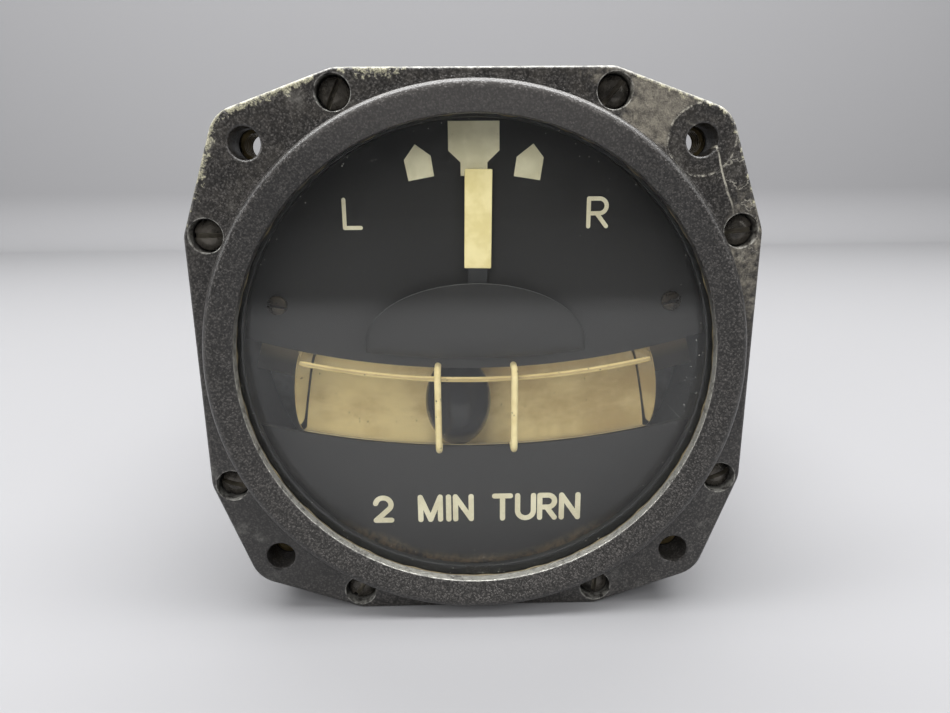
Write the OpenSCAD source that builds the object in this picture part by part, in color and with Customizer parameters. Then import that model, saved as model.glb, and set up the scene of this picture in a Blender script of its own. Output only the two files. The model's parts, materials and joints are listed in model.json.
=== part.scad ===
// Electric turn and slip indicator for a standard 3 1/8 inch panel hole.
// X is to the right, Y runs back into the instrument and Z is up.
// The origin is the centre of the bezel flange's front face, which lies against the panel.

/* [Panel mounting] */
// Distance between neighbouring panel screws, side to side and up and down
hole_pitch = 62.865; // [62.4:0.005:63.4]
// Diameter of the panel screw holes through the bezel and the inserts
hole_d = 4.4; // [4:0.1:5]
// Wall of the brass inserts that the panel screws go into
insert_wall = 1.3; // [0.9:0.1:1.5]

/* [Bezel] */
// Metal between the ring and each panel screw hole
hole_wall = 3; // [2:0.1:4]
// Metal round the panel screw holes at the flange's corners
corner_wall = 2.8; // [2:0.1:3.4]
// Metal between the screw counterbores and the flange's flats
flange_edge = 0.8; // [0.5:0.05:3]
// Thickness of the bezel flange
flange_t = 5; // [4.6:0.1:7]
// Height of the ring's outer edge above the flange
ring_h = 3.6; // [3.2:0.1:5]
// Width of the ring's face, from its outer edge to the window
ring_face = 4.25; // [3.8:0.05:6]
// Height of the lip's front edge above the flange
lip_h = 2.4; // [1.9:0.1:3]
// Thickness of the lip
lip_t = 1.5; // [1.2:0.1:2]
// Rounding of the ring's outer edge
ring_edge_r = 0.6; // [0.3:0.05:0.9]
// Draft of the ring's foot, how much wider it is at the flange
ring_foot = 0.6; // [0.2:0.05:0.7]

/* [Bezel screws] */
// Diameter of the counterbores in the bezel
counterbore_d = 4.8; // [4.4:0.1:5.2]
// Depth of the counterbores
counterbore_depth = 2.8; // [2:0.1:3]
// Diameter of the screw heads
bezel_head_d = 4.3; // [3.8:0.1:4.4]
// Height of the screw heads
bezel_head_h = 1.6; // [1.2:0.1:1.9]
// Diameter of the screw shanks
bezel_shank_d = 2.7; // [2.2:0.1:3]
// Metal between the ring and the counterbores
counterbore_wall = 0.77; // [0.4:0.01:1.5]
// Angle of the two screws of each side from that side's middle
bezel_screw_angle = 26.69; // [25:0.01:28]

/* [Glass] */
// Thickness of the cover glass
glass_t = 2.2; // [1.6:0.1:2.6]
// Thickness of the seal in front of the glass
seal_t = 0.35; // [0.2:0.05:0.6]
// Width of the ledge that the glass lies on
glass_ledge = 2; // [1.6:0.1:2.4]
// Thickness of the ring that holds the glass
retainer_t = 1.1; // [0.8:0.1:1.5]
// Depth of the groove that the ring springs into
retainer_groove = 1.1; // [0.8:0.1:1.3]

/* [Case] */
// How far the ring stands out all round the case
case_step = 0.25; // [0:0.05:1]
// Wall of the case
case_wall = 1.8; // [1.4:0.1:2]
// Thickness of the case's front flange
case_flange_t = 4.6; // [4:0.1:6]
// Thickness of the gasket between bezel and case
gasket_t = 0.4; // [0.2:0.05:0.8]
// Thickness of the rear cover
cover_t = 3; // [2.4:0.1:4]
// Space between the works and the rear cover
rear_room = 6; // [4:0.5:12]
// Diameter of the screw bosses inside the case
boss_d = 8; // [7:0.1:9]
// Length of the front screw bosses inside the case
boss_len = 9; // [7:0.5:14]

/* [Receptacle] */
// Diameter of the receptacle's threaded barrel
barrel_d = 15.9; // [15:0.1:17]
// Wall of the barrel
barrel_wall = 1.3; // [1:0.1:1.6]
// Length of the barrel behind its flange
barrel_len = 11; // [10:0.5:16]
// Width of the receptacle's square flange
socket_flange_w = 25.4; // [24.6:0.1:28]
// Thickness of the receptacle's flange
socket_flange_t = 2.4; // [2:0.1:3]
// Spacing of the receptacle's four screws
socket_pitch = 18.3; // [17.9:0.1:19]
// Diameter of the three contact pins
pin_d = 1.6; // [1.2:0.1:1.9]
// Radius of the circle that the contact pins stand on
pin_circle_r = 3.7; // [3.5:0.1:4.2]
// Length of the contact pins in front of the insulator
pin_len = 7; // [5:0.5:8]

/* [Dial] */
// Depth of the dial's face behind the flange's front face
dial_depth = 6; // [6:0.1:8]
// Thickness of the dial plates
dial_t = 0.8; // [0.5:0.1:1]
// Distance of each dial screw from the dial's side
dial_screw_edge = 6.6; // [5.5:0.1:9]
// Height of the dial screws
dial_screw_z = 8.1; // [7.5:0.1:12]
// Diameter of the dial screws' heads
dial_head_d = 3; // [2.4:0.1:4]
// Height of the dial screws' heads
dial_head_h = 1; // [0.6:0.1:1.6]
// Half the width of the hood that the needle comes out of
hood_half_w = 17.2; // [16.5:0.1:18]
// Height of the hood's rim above its ends
hood_rise = 9.9; // [9:0.1:11]
// Height of the hood's ends
hood_end_z = 1.5; // [1:0.1:2.5]
// How far the hood stands out of the dial
hood_bulge = 3.2; // [3:0.1:3.4]

/* [Slip tube] */
// Radius of the slip tube's curve
tube_arc_r = 130; // [110:1:150]
// Height of the tube's middle
tube_z = -9; // [-9.6:0.1:-8.6]
// Outside diameter of the tube
tube_d = 12.7; // [12:0.1:13.2]
// Wall of the tube
tube_wall = 0.7; // [0.5:0.05:1]
// Length of the cradle's ear past each end of the tube
ear_w = 6.9; // [6:0.1:9]
// Length of the tube's end plugs
plug_len = 1.5; // [1:0.1:3]
// Space between the ball and the tube's bore
ball_gap = 0.3; // [0.1:0.05:0.6]
// How far left of the middle the ball lies
ball_rest = 2.87; // [0:0.01:4]
// Diameter of the index wires
wire_d = 1.15; // [0.8:0.05:1.3]
// Distance of each index wire from the middle
wire_x = 5.95; // [5:0.05:7]
// Thickness of the line along the tube
keeper_d = 0.75; // [0.5:0.05:0.9]
// Thickness of the cradle's sheet
cradle_t = 0.8; // [0.5:0.05:1]
// Height of the cradle's ears at each side of the tube
ear_h = 5.8; // [4:0.1:6.5]

/* [Needle] */
// Height of the needle's pivot
pivot_z = -15; // [-15.5:0.1:-14.5]
// Height of the needle's tip
needle_tip_z = 27.95; // [24:0.05:29]
// Height where the painted paddle starts
paddle_z = 13.5; // [12.5:0.1:18]
// Width of the painted paddle
paddle_w = 4.05; // [3:0.05:5]
// Width of the needle's stem
stem_w = 2.85; // [2:0.05:3.2]
// Thickness of the needle's sheet
needle_t = 0.5; // [0.3:0.05:0.6]
// Angle to the right that the needle is set at on its staff
needle_set = 0.85; // [-2:0.05:2]
// Diameter of the needle's staff
staff_d = 2; // [1.6:0.1:2.4]
// Diameter of the needle's hub
hub_d = 5; // [4.4:0.1:6]
// Thickness of the needle's hub
hub_t = 2; // [1.6:0.1:3]
// Diameter of the needle's counterweight
weight_d = 5.6; // [4:0.1:6]
// Distance of the counterweight from the staff
weight_r = 8.5; // [7:0.1:10]

/* [Gears] */
// Gear module, the pitch diameter over the number of teeth
gear_module = 0.5; // [0.49:0.005:0.51]
// Teeth that the sector would have all round
sector_teeth = 44; // [43:1:45]
// Teeth of the needle's pinion
pinion_teeth = 16; // [15:1:17]
// Width of the gears
gear_t = 2; // [1.5:0.1:3]
// Backlash at the pitch circle
backlash = 0.16; // [0.1:0.02:0.24]

/* [Gyro] */
// Diameter of the gyro wheel
wheel_d = 40; // [36:0.5:42]
// Width of the gyro wheel
wheel_w = 26; // [22:0.5:28]
// Thickness of the wheel's rim
rim_t = 4; // [3:0.1:5]
// Thickness of the wheel's web
web_t = 4; // [3:0.1:6]
// Diameter of the wheel's shaft
shaft_d = 4; // [3.4:0.1:4.6]
// Thickness of the armature ring inside the rim
armature_t = 2.4; // [1.6:0.1:3]
// Air gap between armature and magnet
air_gap = 0.6; // [0.4:0.05:1]
// Diameter of the commutator
commutator_d = 10; // [8:0.2:11]
// Width of the commutator
commutator_w = 5; // [4:0.1:6]
// Width and height of the brushes
brush_w = 2.6; // [2:0.1:3]
// Length of the brushes
brush_len = 5; // [4:0.1:7]

/* [Gimbal] */
// Thickness of the gimbal's bars
gimbal_t = 3.6; // [3:0.1:5]
// Height of the gimbal's bars
gimbal_h = 12; // [11:0.2:14]
// Space between the gimbal and the wheel's rim
gimbal_gap = 1; // [0.6:0.1:2]
// Space between each side of the wheel and the gimbal
gimbal_side_gap = 10.5; // [9.5:0.1:12]
// Diameter of the gimbal's pivots
pivot_d = 4; // [3:0.1:5]
// Largest tilt of the gimbal each way, in degrees
gimbal_tilt = 9; // [6:0.5:9]
// Outside diameter of the ball bearings
bearing_d = 9; // [8:0.1:10]
// Width of the ball bearings
bearing_w = 3; // [2.4:0.1:3.4]

/* [Frame of the works] */
// Thickness of the front and rear plates
plate_t = 2.6; // [2:0.1:3.5]
// Diameter of the pillars between the plates
pillar_d = 5; // [4:0.1:5.6]
// Space between the pillars and the case
pillar_gap = 1.7; // [1:0.1:3]
// Angle of the pillars above and below the level
pillar_angle = 58; // [54:1:62]

/* [Damper and spring] */
// Distance of the crank pin from the case
crank_room = 19.2; // [18.5:0.1:21]
// Diameter of the crank pin
crank_pin_d = 1.8; // [1.2:0.1:2.2]
// Thickness of the crank
crank_t = 2.4; // [2:0.1:3]
// Outside diameter of the dashpot cylinder
dashpot_d = 11; // [10:0.1:12]
// Wall of the dashpot cylinder
dashpot_wall = 1; // [0.8:0.1:1.4]
// Length of the dashpot cylinder
dashpot_len = 16; // [15:0.5:18]
// Radial clearance of the piston in the dashpot
piston_clearance = 0.08; // [0.03:0.01:0.1]
// Mean diameter of the centring spring
spring_d = 4.4; // [3.6:0.1:5.5]
// Diameter of the spring's wire
spring_wire_d = 0.6; // [0.4:0.05:0.7]
// Distance from turn to turn of the spring
spring_pitch = 1.3; // [1.1:0.05:2]
// Space between the spring's bracket and the case
bracket_room = 8.8; // [8:0.1:12]

/* [Fits] */
// Clearance of a loose fixed fit, all round
loose = 0.3; // [0.2:0.05:0.4]
// Radial clearance of a turning fit
running = 0.03; // [0.01:0.01:0.1]
// Room between pieces that pass each other
room = 1; // [0.7:0.1:1.5]

/* [Hidden] */
$fn = 48;
thin = 0.01;
blend = 0.02;

// Bezel and glass, by depth
lip_back = -lip_h + lip_t;
glass_front = lip_back + seal_t;
glass_back = glass_front + glass_t;
ring_d = hole_pitch * sqrt(2) - hole_d - 2 * hole_wall;
corner_r = hole_d / 2 + corner_wall;
insert_d = hole_d + 2 * insert_wall;
window_d = ring_d - 2 * ring_face;
seat_r = window_d / 2 + glass_ledge;
groove_back = glass_back + retainer_t + loose / 2;
screw_circle_r = ring_d / 2 + counterbore_d / 2 + counterbore_wall;
screw_far = screw_circle_r * cos(bezel_screw_angle);
screw_near = screw_circle_r * sin(bezel_screw_angle);
flange_w = 2 * screw_far + counterbore_d + 2 * flange_edge;
flange_flat = 2 * screw_near;
screw_places = [[-screw_near, screw_far], [screw_near, screw_far], [-screw_far, screw_near],
    [screw_far, screw_near], [-screw_far, -screw_near], [screw_far, -screw_near],
    [-screw_near, -screw_far], [screw_near, -screw_far]];
screw_turns = [64, 50, 0, 6, -16, 24, 57, 86];
slot_w = 0.8;
slot_depth = 0.8;

// Case, by depth
case_front = flange_t + gasket_t;
case_flange_back = case_front + case_flange_t;
case_d = ring_d - 2 * case_step;
case_ri = case_d / 2 - case_wall;
dial_r = case_ri - loose;
boss_place = (case_ri + case_wall / 2 - boss_d / 2) / sqrt(2);
fixed_play = 0.1;
boss_floor = 1;
rear_boss_len = rear_room - room;

// Slip tube: its curve lies on a circle about a point above the instrument
tube_r = tube_d / 2;
bore_r = tube_r - tube_wall;
ball_r = bore_r - ball_gap;
arc_z = tube_z + tube_arc_r;
wire_room = 0.55;
wire_y = glass_back + wire_d / 2 + wire_room;
tube_y = wire_y + wire_d / 2 + loose + tube_r;
ear_edge = 1.2;
ear_half = asin((dial_r - ear_edge) / tube_arc_r);
tube_half = ear_half - ear_w / tube_arc_r * 180 / PI;
plug_angle = plug_len / tube_arc_r * 180 / PI;
ball_angle = ball_rest / tube_arc_r * 180 / PI;
slot_half = tube_r + loose;
cradle_ri = tube_r + fixed_play;
cradle_r = cradle_ri + cradle_t;
cradle_back = tube_y + cradle_r;
keeper_slope = 46;
keeper_r = tube_r + keeper_d / 2 + 0.03;
wire_leg = slot_half + wire_d / 2 + 0.05;
wire_bend_r = 1.4;

// Dial and needle, by depth
dial_back = dial_depth + dial_t;
dial_screw_x = dial_r - dial_screw_edge;
needle_room = 0.6;
needle_front = dial_depth - needle_room - needle_t;
arm_front = cradle_back + room;
hub_front = arm_front - (hub_t - needle_t) / 2;
shelf_r = 19;
plate_front = hub_front + hub_t + needle_room;
plate_back = plate_front + plate_t;

// Pillars between the plates
pillar_r = case_ri - pillar_gap - pillar_d / 2;
pillar_x = pillar_r * cos(pillar_angle);
pillar_z = pillar_r * sin(pillar_angle);

// Gears, by depth
gear_front = plate_back + room;
gear_back = gear_front + gear_t;
sector_pitch_r = gear_module * sector_teeth / 2;
pinion_pitch_r = gear_module * pinion_teeth / 2;
gimbal_z = pivot_z + sector_pitch_r + pinion_pitch_r;
pressure_angle = 20;
bridge_front = gear_back + room;
bridge_t = 1.6;
bridge_back = bridge_front + bridge_t;

// Gyro and gimbal: the wheel turns about an axis across the instrument
gimbal_front = bridge_back + room;
wheel_r = wheel_d / 2;
wheel_y = gimbal_front + gimbal_t + gimbal_gap + wheel_r;
gimbal_back = wheel_y + wheel_r + gimbal_gap + gimbal_t;
gimbal_in = wheel_w / 2 + gimbal_side_gap;
gimbal_out = gimbal_in + gimbal_t;
rear_plate_front = gimbal_back + 3 * room;
rear_plate_back = rear_plate_front + plate_t;
shaft_r = shaft_d / 2;
rim_ri = wheel_r - rim_t;
armature_ri = rim_ri - armature_t;
magnet_r = armature_ri - air_gap;
carrier_ri = shaft_r + room;
carrier_wall = 2.6;
carrier_r = carrier_ri + carrier_wall;
inner_left = -wheel_w / 2 + web_t + room;
commutator_left = -wheel_w / 2 - room - commutator_w;
brush_gap = 0.2;
brush_wall = 1;

// Crank, damper and spring, behind the rear plate
crank_gap = 3.4;
crank_front = rear_plate_back + crank_gap;
crank_back = crank_front + crank_t;
crank_h = 6;
crank_r = case_ri - crank_room;
stop_x = 12;
stop_arm_h = 4;
stop_pin_d = 2;
yoke_t = 3;
yoke_front = crank_back + 0.7;
damper_y = yoke_front + yoke_t / 2;
crank_pin_back = yoke_front + yoke_t + 0.3;
yoke_wall = 1;
yoke_slot_half_w = crank_pin_d / 2 + 1.3;
yoke_slot_half_h = crank_pin_d / 2 + fixed_play;
yoke_half_w = yoke_slot_half_w + yoke_wall;
yoke_half_h = yoke_slot_half_h + 2 * yoke_wall;
dashpot_ri = dashpot_d / 2 - dashpot_wall;
damper_travel = crank_r * sin(gimbal_tilt);
dashpot_top = gimbal_z - yoke_half_h - damper_travel - room;
dashpot_floor = 1.5;
piston_h = 4;
rod_d = 2;
piston_top = dashpot_top - damper_travel - room;
horn_len = 10;
horn_top = gimbal_z + horn_len;
spring_end = 0.9;
spring_gap = 0.3;
spring_low = horn_top + spring_gap + spring_end;
bracket_t = 2;
bracket_z = case_ri - bracket_room - bracket_t;
adjuster_out = 1;
adjuster_tip = bracket_z - adjuster_out;
spring_high = adjuster_tip - spring_gap - spring_end;
spring_len = spring_high - spring_low;
spring_turns = floor(spring_len / spring_pitch);
adjuster_d = 2.4;
adjuster_head_d = 5;
adjuster_head_h = 1.6;
spring_y = crank_front + crank_t / 2;

// Rear end
cover_front = max(damper_y + dashpot_d / 2, spring_y + adjuster_head_d / 2) + rear_room;
cover_back = cover_front + cover_t;
socket_back = cover_back + socket_flange_t + barrel_len;
insulator_back = socket_back - pin_len - 1.2;
barrel_ri = barrel_d / 2 - barrel_wall;

// Draws a flat outline with its up direction along Z, from depth y, t thick towards the back
module slab(y, t) {
    translate([0, y + t, 0])
        rotate([90, 0, 0])
            linear_extrude(t)
                children();
}

// Revolves a profile of radius and depth about the line along Y through the given height
module turned(z = 0) {
    translate([0, 0, z])
        rotate([-90, 0, 0])
            rotate_extrude()
                children();
}

// Sweeps a profile of radius and depth along the slip tube's curve, between two angles from the middle
module swept(low, high) {
    translate([0, 0, arc_z])
        rotate([-90, 0, 0])
            rotate([0, 0, 90 - high])
                rotate_extrude(angle = high - low)
                    children();
}

// The same at both ends of the curve
module swept_ends(inner, outer) {
    swept(inner, outer)
        children();
    swept(-outer, -inner)
        children();
}

// Round bar along Y
module bar_y(x, z, y0, y1, d) {
    translate([x, y0, z])
        rotate([-90, 0, 0])
            cylinder(d = d, h = y1 - y0);
}

// Round bar along X
module bar_x(x0, x1, d) {
    translate([x0, wheel_y, gimbal_z])
        rotate([0, 90, 0])
            cylinder(d = d, h = x1 - x0);
}

// Hollow round bar along X on the wheel's axis
module sleeve_x(x0, x1, d_out, d_in) {
    difference() {
        bar_x(x0, x1, d_out);
        bar_x(x0 - 1, x1 + 1, d_in);
    }
}

module at_corners(pitch_x, pitch_z) {
    for (x = [-pitch_x, pitch_x] / 2)
        for (z = [-pitch_z, pitch_z] / 2)
            translate([x, 0, z])
                children();
}

// Slotted screw whose head faces the front, with the underside of its head at depth y
module slotted_screw(y, head_d, head_h, shank_d, shank_len, turn) {
    difference() {
        union() {
            bar_y(0, 0, y - head_h, y, head_d);
            bar_y(0, 0, y - thin, y + shank_len, shank_d);
        }
        translate([0, y - head_h, 0])
            rotate([0, -turn, 0])
                cube([head_d + 1, 2 * min(slot_depth, head_h / 2), min(slot_w, head_d / 4)], center = true);
    }
}

// The same screw with its head facing the rear
module rear_screw(y, head_d, head_h, shank_d, shank_len, turn) {
    translate([0, 2 * y, 0])
        mirror([0, 1, 0])
            slotted_screw(y, head_d, head_h, shank_d, shank_len, turn);
}

// Point where a line from p touches the circle of radius r about c, on its left side
function touch_point(p, c, r) =
    let (d = c - p, l = norm(d), a = atan2(d.y, d.x) + asin(r / l))
    p + sqrt(l * l - r * r) * [cos(a), sin(a)];
function turn_point(p, a) = [p.x * cos(a) - p.y * sin(a), p.x * sin(a) + p.y * cos(a)];

// Outline of the flanges: four flats, and round corners about the panel screws
module flange_outline() {
    flat_end = [flange_flat / 2, flange_w / 2];
    corner = [hole_pitch, hole_pitch] / 2;
    touch = touch_point(flat_end, corner, corner_r);
    side = [flat_end, touch, [touch.y, touch.x], [flat_end.y, flat_end.x]];
    polygon([for (a = [0:-90:-270]) for (p = side) turn_point(p, a)]);
    for (a = [0:90:270])
        translate(turn_point(corner, a))
            circle(corner_r + blend);
}

module at_screws() {
    for (i = [0:len(screw_places) - 1])
        translate([screw_places[i].x, 0, screw_places[i].y])
            children();
}

module bezel() {
    edge = [ring_d / 2 - ring_edge_r, -ring_h + ring_edge_r];
    color("#2b2b2c")
        difference() {
            union() {
                slab(0, flange_t)
                    flange_outline();
                turned() {
                    polygon([[window_d / 2, thin], [window_d / 2, -lip_h], [edge.x, -ring_h],
                        [ring_d / 2, edge.y], [ring_d / 2, -ring_foot], [ring_d / 2 + ring_foot, thin]]);
                    translate(edge)
                        circle(ring_edge_r);
                }
            }
            turned()
                polygon([[0, -ring_h - 1], [window_d / 2, -ring_h - 1], [window_d / 2, lip_back],
                    [seat_r, lip_back], [seat_r, glass_back], [seat_r + retainer_groove, glass_back],
                    [seat_r + retainer_groove, groove_back], [seat_r, groove_back],
                    [seat_r, flange_t + 1], [0, flange_t + 1]]);
            at_corners(hole_pitch, hole_pitch)
                bar_y(0, 0, -1, flange_t + 1, hole_d);
            at_screws() {
                bar_y(0, 0, -1, counterbore_depth, counterbore_d);
                bar_y(0, 0, 0, flange_t + 1, bezel_shank_d + loose);
            }
        }
}

module cover_glass() {
    r = seat_r - loose / 2;
    bevel = 0.3;
    color("#cfe0dd", 0.4)
        turned()
            polygon([[0, glass_front], [r - bevel, glass_front], [r, glass_front + bevel],
                [r, glass_back - bevel], [r - bevel, glass_back], [0, glass_back]]);
}

module glass_seal() {
    color("#151515")
        turned()
            translate([window_d / 2 + loose, lip_back])
                square([glass_ledge - loose * 1.5, seal_t]);
}

module glass_retainer() {
    r = seat_r + retainer_groove - loose / 2;
    gap_w = 4;
    color("#1d1d1d")
        difference() {
            turned()
                translate([r - retainer_groove - glass_ledge, glass_back])
                    square([retainer_groove + glass_ledge, retainer_t]);
            translate([-gap_w / 2, glass_back - 1, -r - 1])
                cube([gap_w, retainer_t + 2, retainer_groove + glass_ledge + 3]);
        }
}

module bezel_screws() {
    shank = case_flange_back - counterbore_depth - 0.6;
    color("#1c1c1c")
        for (i = [0:len(screw_places) - 1])
            translate([screw_places[i].x, 0, screw_places[i].y])
                slotted_screw(counterbore_depth, bezel_head_d, bezel_head_h, bezel_shank_d, shank,
                    screw_turns[i]);
}

module case_gasket() {
    color("#101010")
        difference() {
            slab(flange_t, gasket_t)
                flange_outline();
            bar_y(0, 0, flange_t - 1, case_front + 1, 2 * seat_r + 1);
            at_corners(hole_pitch, hole_pitch)
                bar_y(0, 0, flange_t - 1, case_front + 1, hole_d);
            at_screws()
                bar_y(0, 0, flange_t - 1, case_front + 1, bezel_shank_d + loose);
        }
}

module at_bosses() {
    at_corners(2 * boss_place, 2 * boss_place)
        children();
}

boss_screw_d = 3;

module case_shell() {
    color("#27272a")
        difference() {
            union() {
                slab(case_front, case_flange_t)
                    flange_outline();
                bar_y(0, 0, case_front, cover_front, case_d);
            }
            difference() {
                bar_y(0, 0, case_front - 1, cover_front + 1, 2 * case_ri);
                at_bosses() {
                    bar_y(0, 0, plate_back, plate_back + boss_len, boss_d);
                    bar_y(0, 0, cover_front - rear_boss_len, cover_front, boss_d);
                }
            }
            at_bosses() {
                bar_y(0, 0, plate_back - 1, plate_back + boss_len - boss_floor, boss_screw_d + fixed_play);
                bar_y(0, 0, cover_front - rear_boss_len + boss_floor, cover_front + 1,
                    boss_screw_d + fixed_play);
            }
            at_corners(hole_pitch, hole_pitch)
                bar_y(0, 0, case_front - 1, case_flange_back + 1, insert_d);
            at_screws()
                bar_y(0, 0, case_front - 1, case_flange_back + 1, bezel_shank_d + fixed_play);
        }
}

module mounting_inserts() {
    collar_t = 1;
    collar_w = 0.6;
    color("#b08d3f")
        at_corners(hole_pitch, hole_pitch)
            difference() {
                union() {
                    bar_y(0, 0, case_front, case_flange_back, insert_d);
                    bar_y(0, 0, case_flange_back, case_flange_back + collar_t, insert_d + 2 * collar_w);
                }
                bar_y(0, 0, case_front - 1, case_flange_back + collar_t + 1, hole_d);
            }
}

module rear_cover() {
    spigot = 2;
    edge = 0.8;
    color("#27272a")
        difference() {
            union() {
                turned()
                    polygon([[0, cover_front], [case_d / 2, cover_front], [case_d / 2, cover_back - edge],
                        [case_d / 2 - edge, cover_back], [0, cover_back]]);
                difference() {
                    bar_y(0, 0, cover_front - spigot, cover_front + thin, 2 * (case_ri - loose));
                    bar_y(0, 0, cover_front - spigot - 1, cover_front, 2 * (case_ri - loose) - 3);
                    at_bosses()
                        bar_y(0, 0, cover_front - spigot - 1, cover_front, boss_d + 2 * loose);
                }
            }
            at_bosses()
                bar_y(0, 0, cover_front - spigot - 1, cover_back + 1, boss_screw_d + loose);
            bar_y(0, 0, cover_front - 1, cover_back + 1, barrel_d + loose);
            at_corners(socket_pitch, socket_pitch)
                bar_y(0, 0, cover_front - 1, cover_back + 1, socket_screw_d + fixed_play);
        }
}

module rear_cover_screws() {
    head_d = 5.4;
    head_h = 1.9;
    shank = cover_t + rear_boss_len - 2 * boss_floor;
    color("#3a3a3a")
        at_bosses()
            rear_screw(cover_back, head_d, head_h, boss_screw_d, shank, 35);
}

socket_screw_d = 2.5;

module connector_shell() {
    tail = cover_t + 2;
    groove = 0.5;
    relief = 1.6;
    flange_back = cover_back + socket_flange_t;
    corner = 2.5;
    color("#5b5f4a")
        difference() {
            union() {
                slab(cover_back, socket_flange_t) {
                    square([socket_flange_w - 2 * corner, socket_flange_w], center = true);
                    square([socket_flange_w, socket_flange_w - 2 * corner], center = true);
                    for (x = [-1, 1])
                        for (z = [-1, 1])
                            translate([x, z] * (socket_flange_w / 2 - corner))
                                circle(corner);
                }
                turned()
                    polygon([[0, cover_back - tail], [barrel_d / 2, cover_back - tail],
                        [barrel_d / 2, flange_back], [barrel_d / 2 - groove, flange_back + groove],
                        [barrel_d / 2 - groove, flange_back + relief],
                        [barrel_d / 2, flange_back + relief + groove],
                        [barrel_d / 2, socket_back - groove], [barrel_d / 2 - groove, socket_back],
                        [0, socket_back]]);
            }
            bar_y(0, 0, cover_back - tail - 1, socket_back + 1, 2 * barrel_ri);
            at_corners(socket_pitch, socket_pitch)
                bar_y(0, 0, cover_back - 1, flange_back + 1, socket_screw_d + loose);
        }
}

module at_pins() {
    for (a = [90, 210, 330])
        translate([pin_circle_r * cos(a), 0, pin_circle_r * sin(a)])
            children();
}

module connector_insulator() {
    color("#2f6b57")
        difference() {
            bar_y(0, 0, cover_back - cover_t - 1, insulator_back, 2 * barrel_ri);
            at_pins()
                bar_y(0, 0, cover_front - 2, insulator_back + 1, pin_d);
        }
}

module connector_pins() {
    cup_len = 4;
    color("#c9a64a")
        at_pins() {
            bar_y(0, 0, cover_front - cup_len, insulator_back + pin_len - pin_d / 2, pin_d);
            translate([0, insulator_back + pin_len - pin_d / 2, 0])
                sphere(d = pin_d);
        }
}

module connector_screws() {
    head_d = 4.4;
    head_h = 1.5;
    tail = 1;
    color("#8f8f8c")
        at_corners(socket_pitch, socket_pitch)
            rear_screw(cover_back + socket_flange_t, head_d, head_h, socket_screw_d,
                socket_flange_t + cover_t + tail, 20);
}

// Height of the slot's upper edge in the dial at a distance x from the middle
function slot_top_z(x) = arc_z - sqrt(pow(tube_arc_r - slot_half, 2) - x * x);

// Hood: a sheet pressed out of the dial, open at its arched upper rim.
// u runs across the hood in degrees of its arch, and v from its foot to its rim.
hood_t = 0.5;
hood_foot = wire_d + 0.45;
hood_steep = 0.38;
hood_ease = 0.12;
function hood_profile(v) = v < hood_steep
    ? sqrt(1 - pow(1 - v / hood_steep, 2))
    : 1 - hood_ease * pow((v - hood_steep) / (1 - hood_steep), 2);
function hood_point(u, v, back) =
    let (x = hood_half_w * cos(u), foot = slot_top_z(x) + hood_foot, rim = hood_end_z + hood_rise * sin(u))
    [x, dial_depth - hood_bulge * sin(u) * hood_profile(v) + back, foot + (rim - foot) * v];

module hood() {
    us = [for (u = [6:6:174]) u];
    vs = [for (v = [0:0.1:1]) v * v * (3 - 2 * v)];
    n = len(us);
    m = len(vs);
    points = [for (back = [0, hood_t]) for (u = us) for (v = vs) hood_point(u, v, back)];
    function id(i, j, side) = side * n * m + i * m + j;
    function quad(a, b, c, d) = [[a, b, c], [a, c, d]];
    front = [for (i = [0:n - 2]) for (j = [0:m - 2])
        each quad(id(i, j, 0), id(i + 1, j, 0), id(i + 1, j + 1, 0), id(i, j + 1, 0))];
    rear = [for (i = [0:n - 2]) for (j = [0:m - 2])
        each quad(id(i, j, 1), id(i, j + 1, 1), id(i + 1, j + 1, 1), id(i + 1, j, 1))];
    feet = [for (i = [0:n - 2])
        each quad(id(i, 0, 0), id(i, 0, 1), id(i + 1, 0, 1), id(i + 1, 0, 0))];
    rims = [for (i = [0:n - 2])
        each quad(id(i, m - 1, 0), id(i + 1, m - 1, 0), id(i + 1, m - 1, 1), id(i, m - 1, 1))];
    right = [for (j = [0:m - 2])
        each quad(id(0, j, 0), id(0, j + 1, 0), id(0, j + 1, 1), id(0, j, 1))];
    left = [for (j = [0:m - 2])
        each quad(id(n - 1, j, 0), id(n - 1, j, 1), id(n - 1, j + 1, 1), id(n - 1, j + 1, 0))];
    polyhedron(points, concat(front, rear, feet, rims, right, left));
}

// Hole in the dial behind the hood, inside the hood's own outline
module hood_hole() {
    inset = 0.5;
    arch = [for (u = [22:8:158])
        [(hood_half_w - inset) * cos(u), hood_end_z + (hood_rise - inset) * sin(u)]];
    foot = [for (x = [arch[len(arch) - 1].x, 0, arch[0].x]) [x, slot_top_z(x) + hood_foot + inset]];
    polygon(concat(arch, foot));
}

module slot_circle(r) {
    translate([0, arc_z])
        circle(r, $fn = 180);
}

module upper_dial() {
    color("#17181a") {
        difference() {
            slab(dial_depth, dial_t)
                difference() {
                    intersection() {
                        circle(dial_r);
                        slot_circle(tube_arc_r - slot_half);
                    }
                    hood_hole();
                    for (x = [-dial_screw_x, dial_screw_x])
                        translate([x, dial_screw_z])
                            circle(d = dial_shank_d + loose);
                }
            index_wire_holes();
        }
        hood();
    }
}

module lower_dial() {
    color("#17181a")
        union() {
            difference() {
                slab(dial_depth, dial_t)
                    difference() {
                        circle(dial_r);
                        slot_circle(tube_arc_r + slot_half);
                    }
                index_wire_holes();
            }
            for (x = [-dial_foot_x, dial_foot_x])
                bar_y(x, dial_foot_z, dial_depth + thin, plate_back, dial_foot_d);
        }
}

dial_foot_edge = 4.1;
dial_foot_angle = 52.4;
dial_foot_x = (dial_r - dial_foot_edge) * cos(dial_foot_angle);
dial_foot_z = -(dial_r - dial_foot_edge) * sin(dial_foot_angle);
dial_foot_d = 2;
dial_shank_d = 1.7;
dial_post_d = 4.6;
dial_thread = 4;

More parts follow.
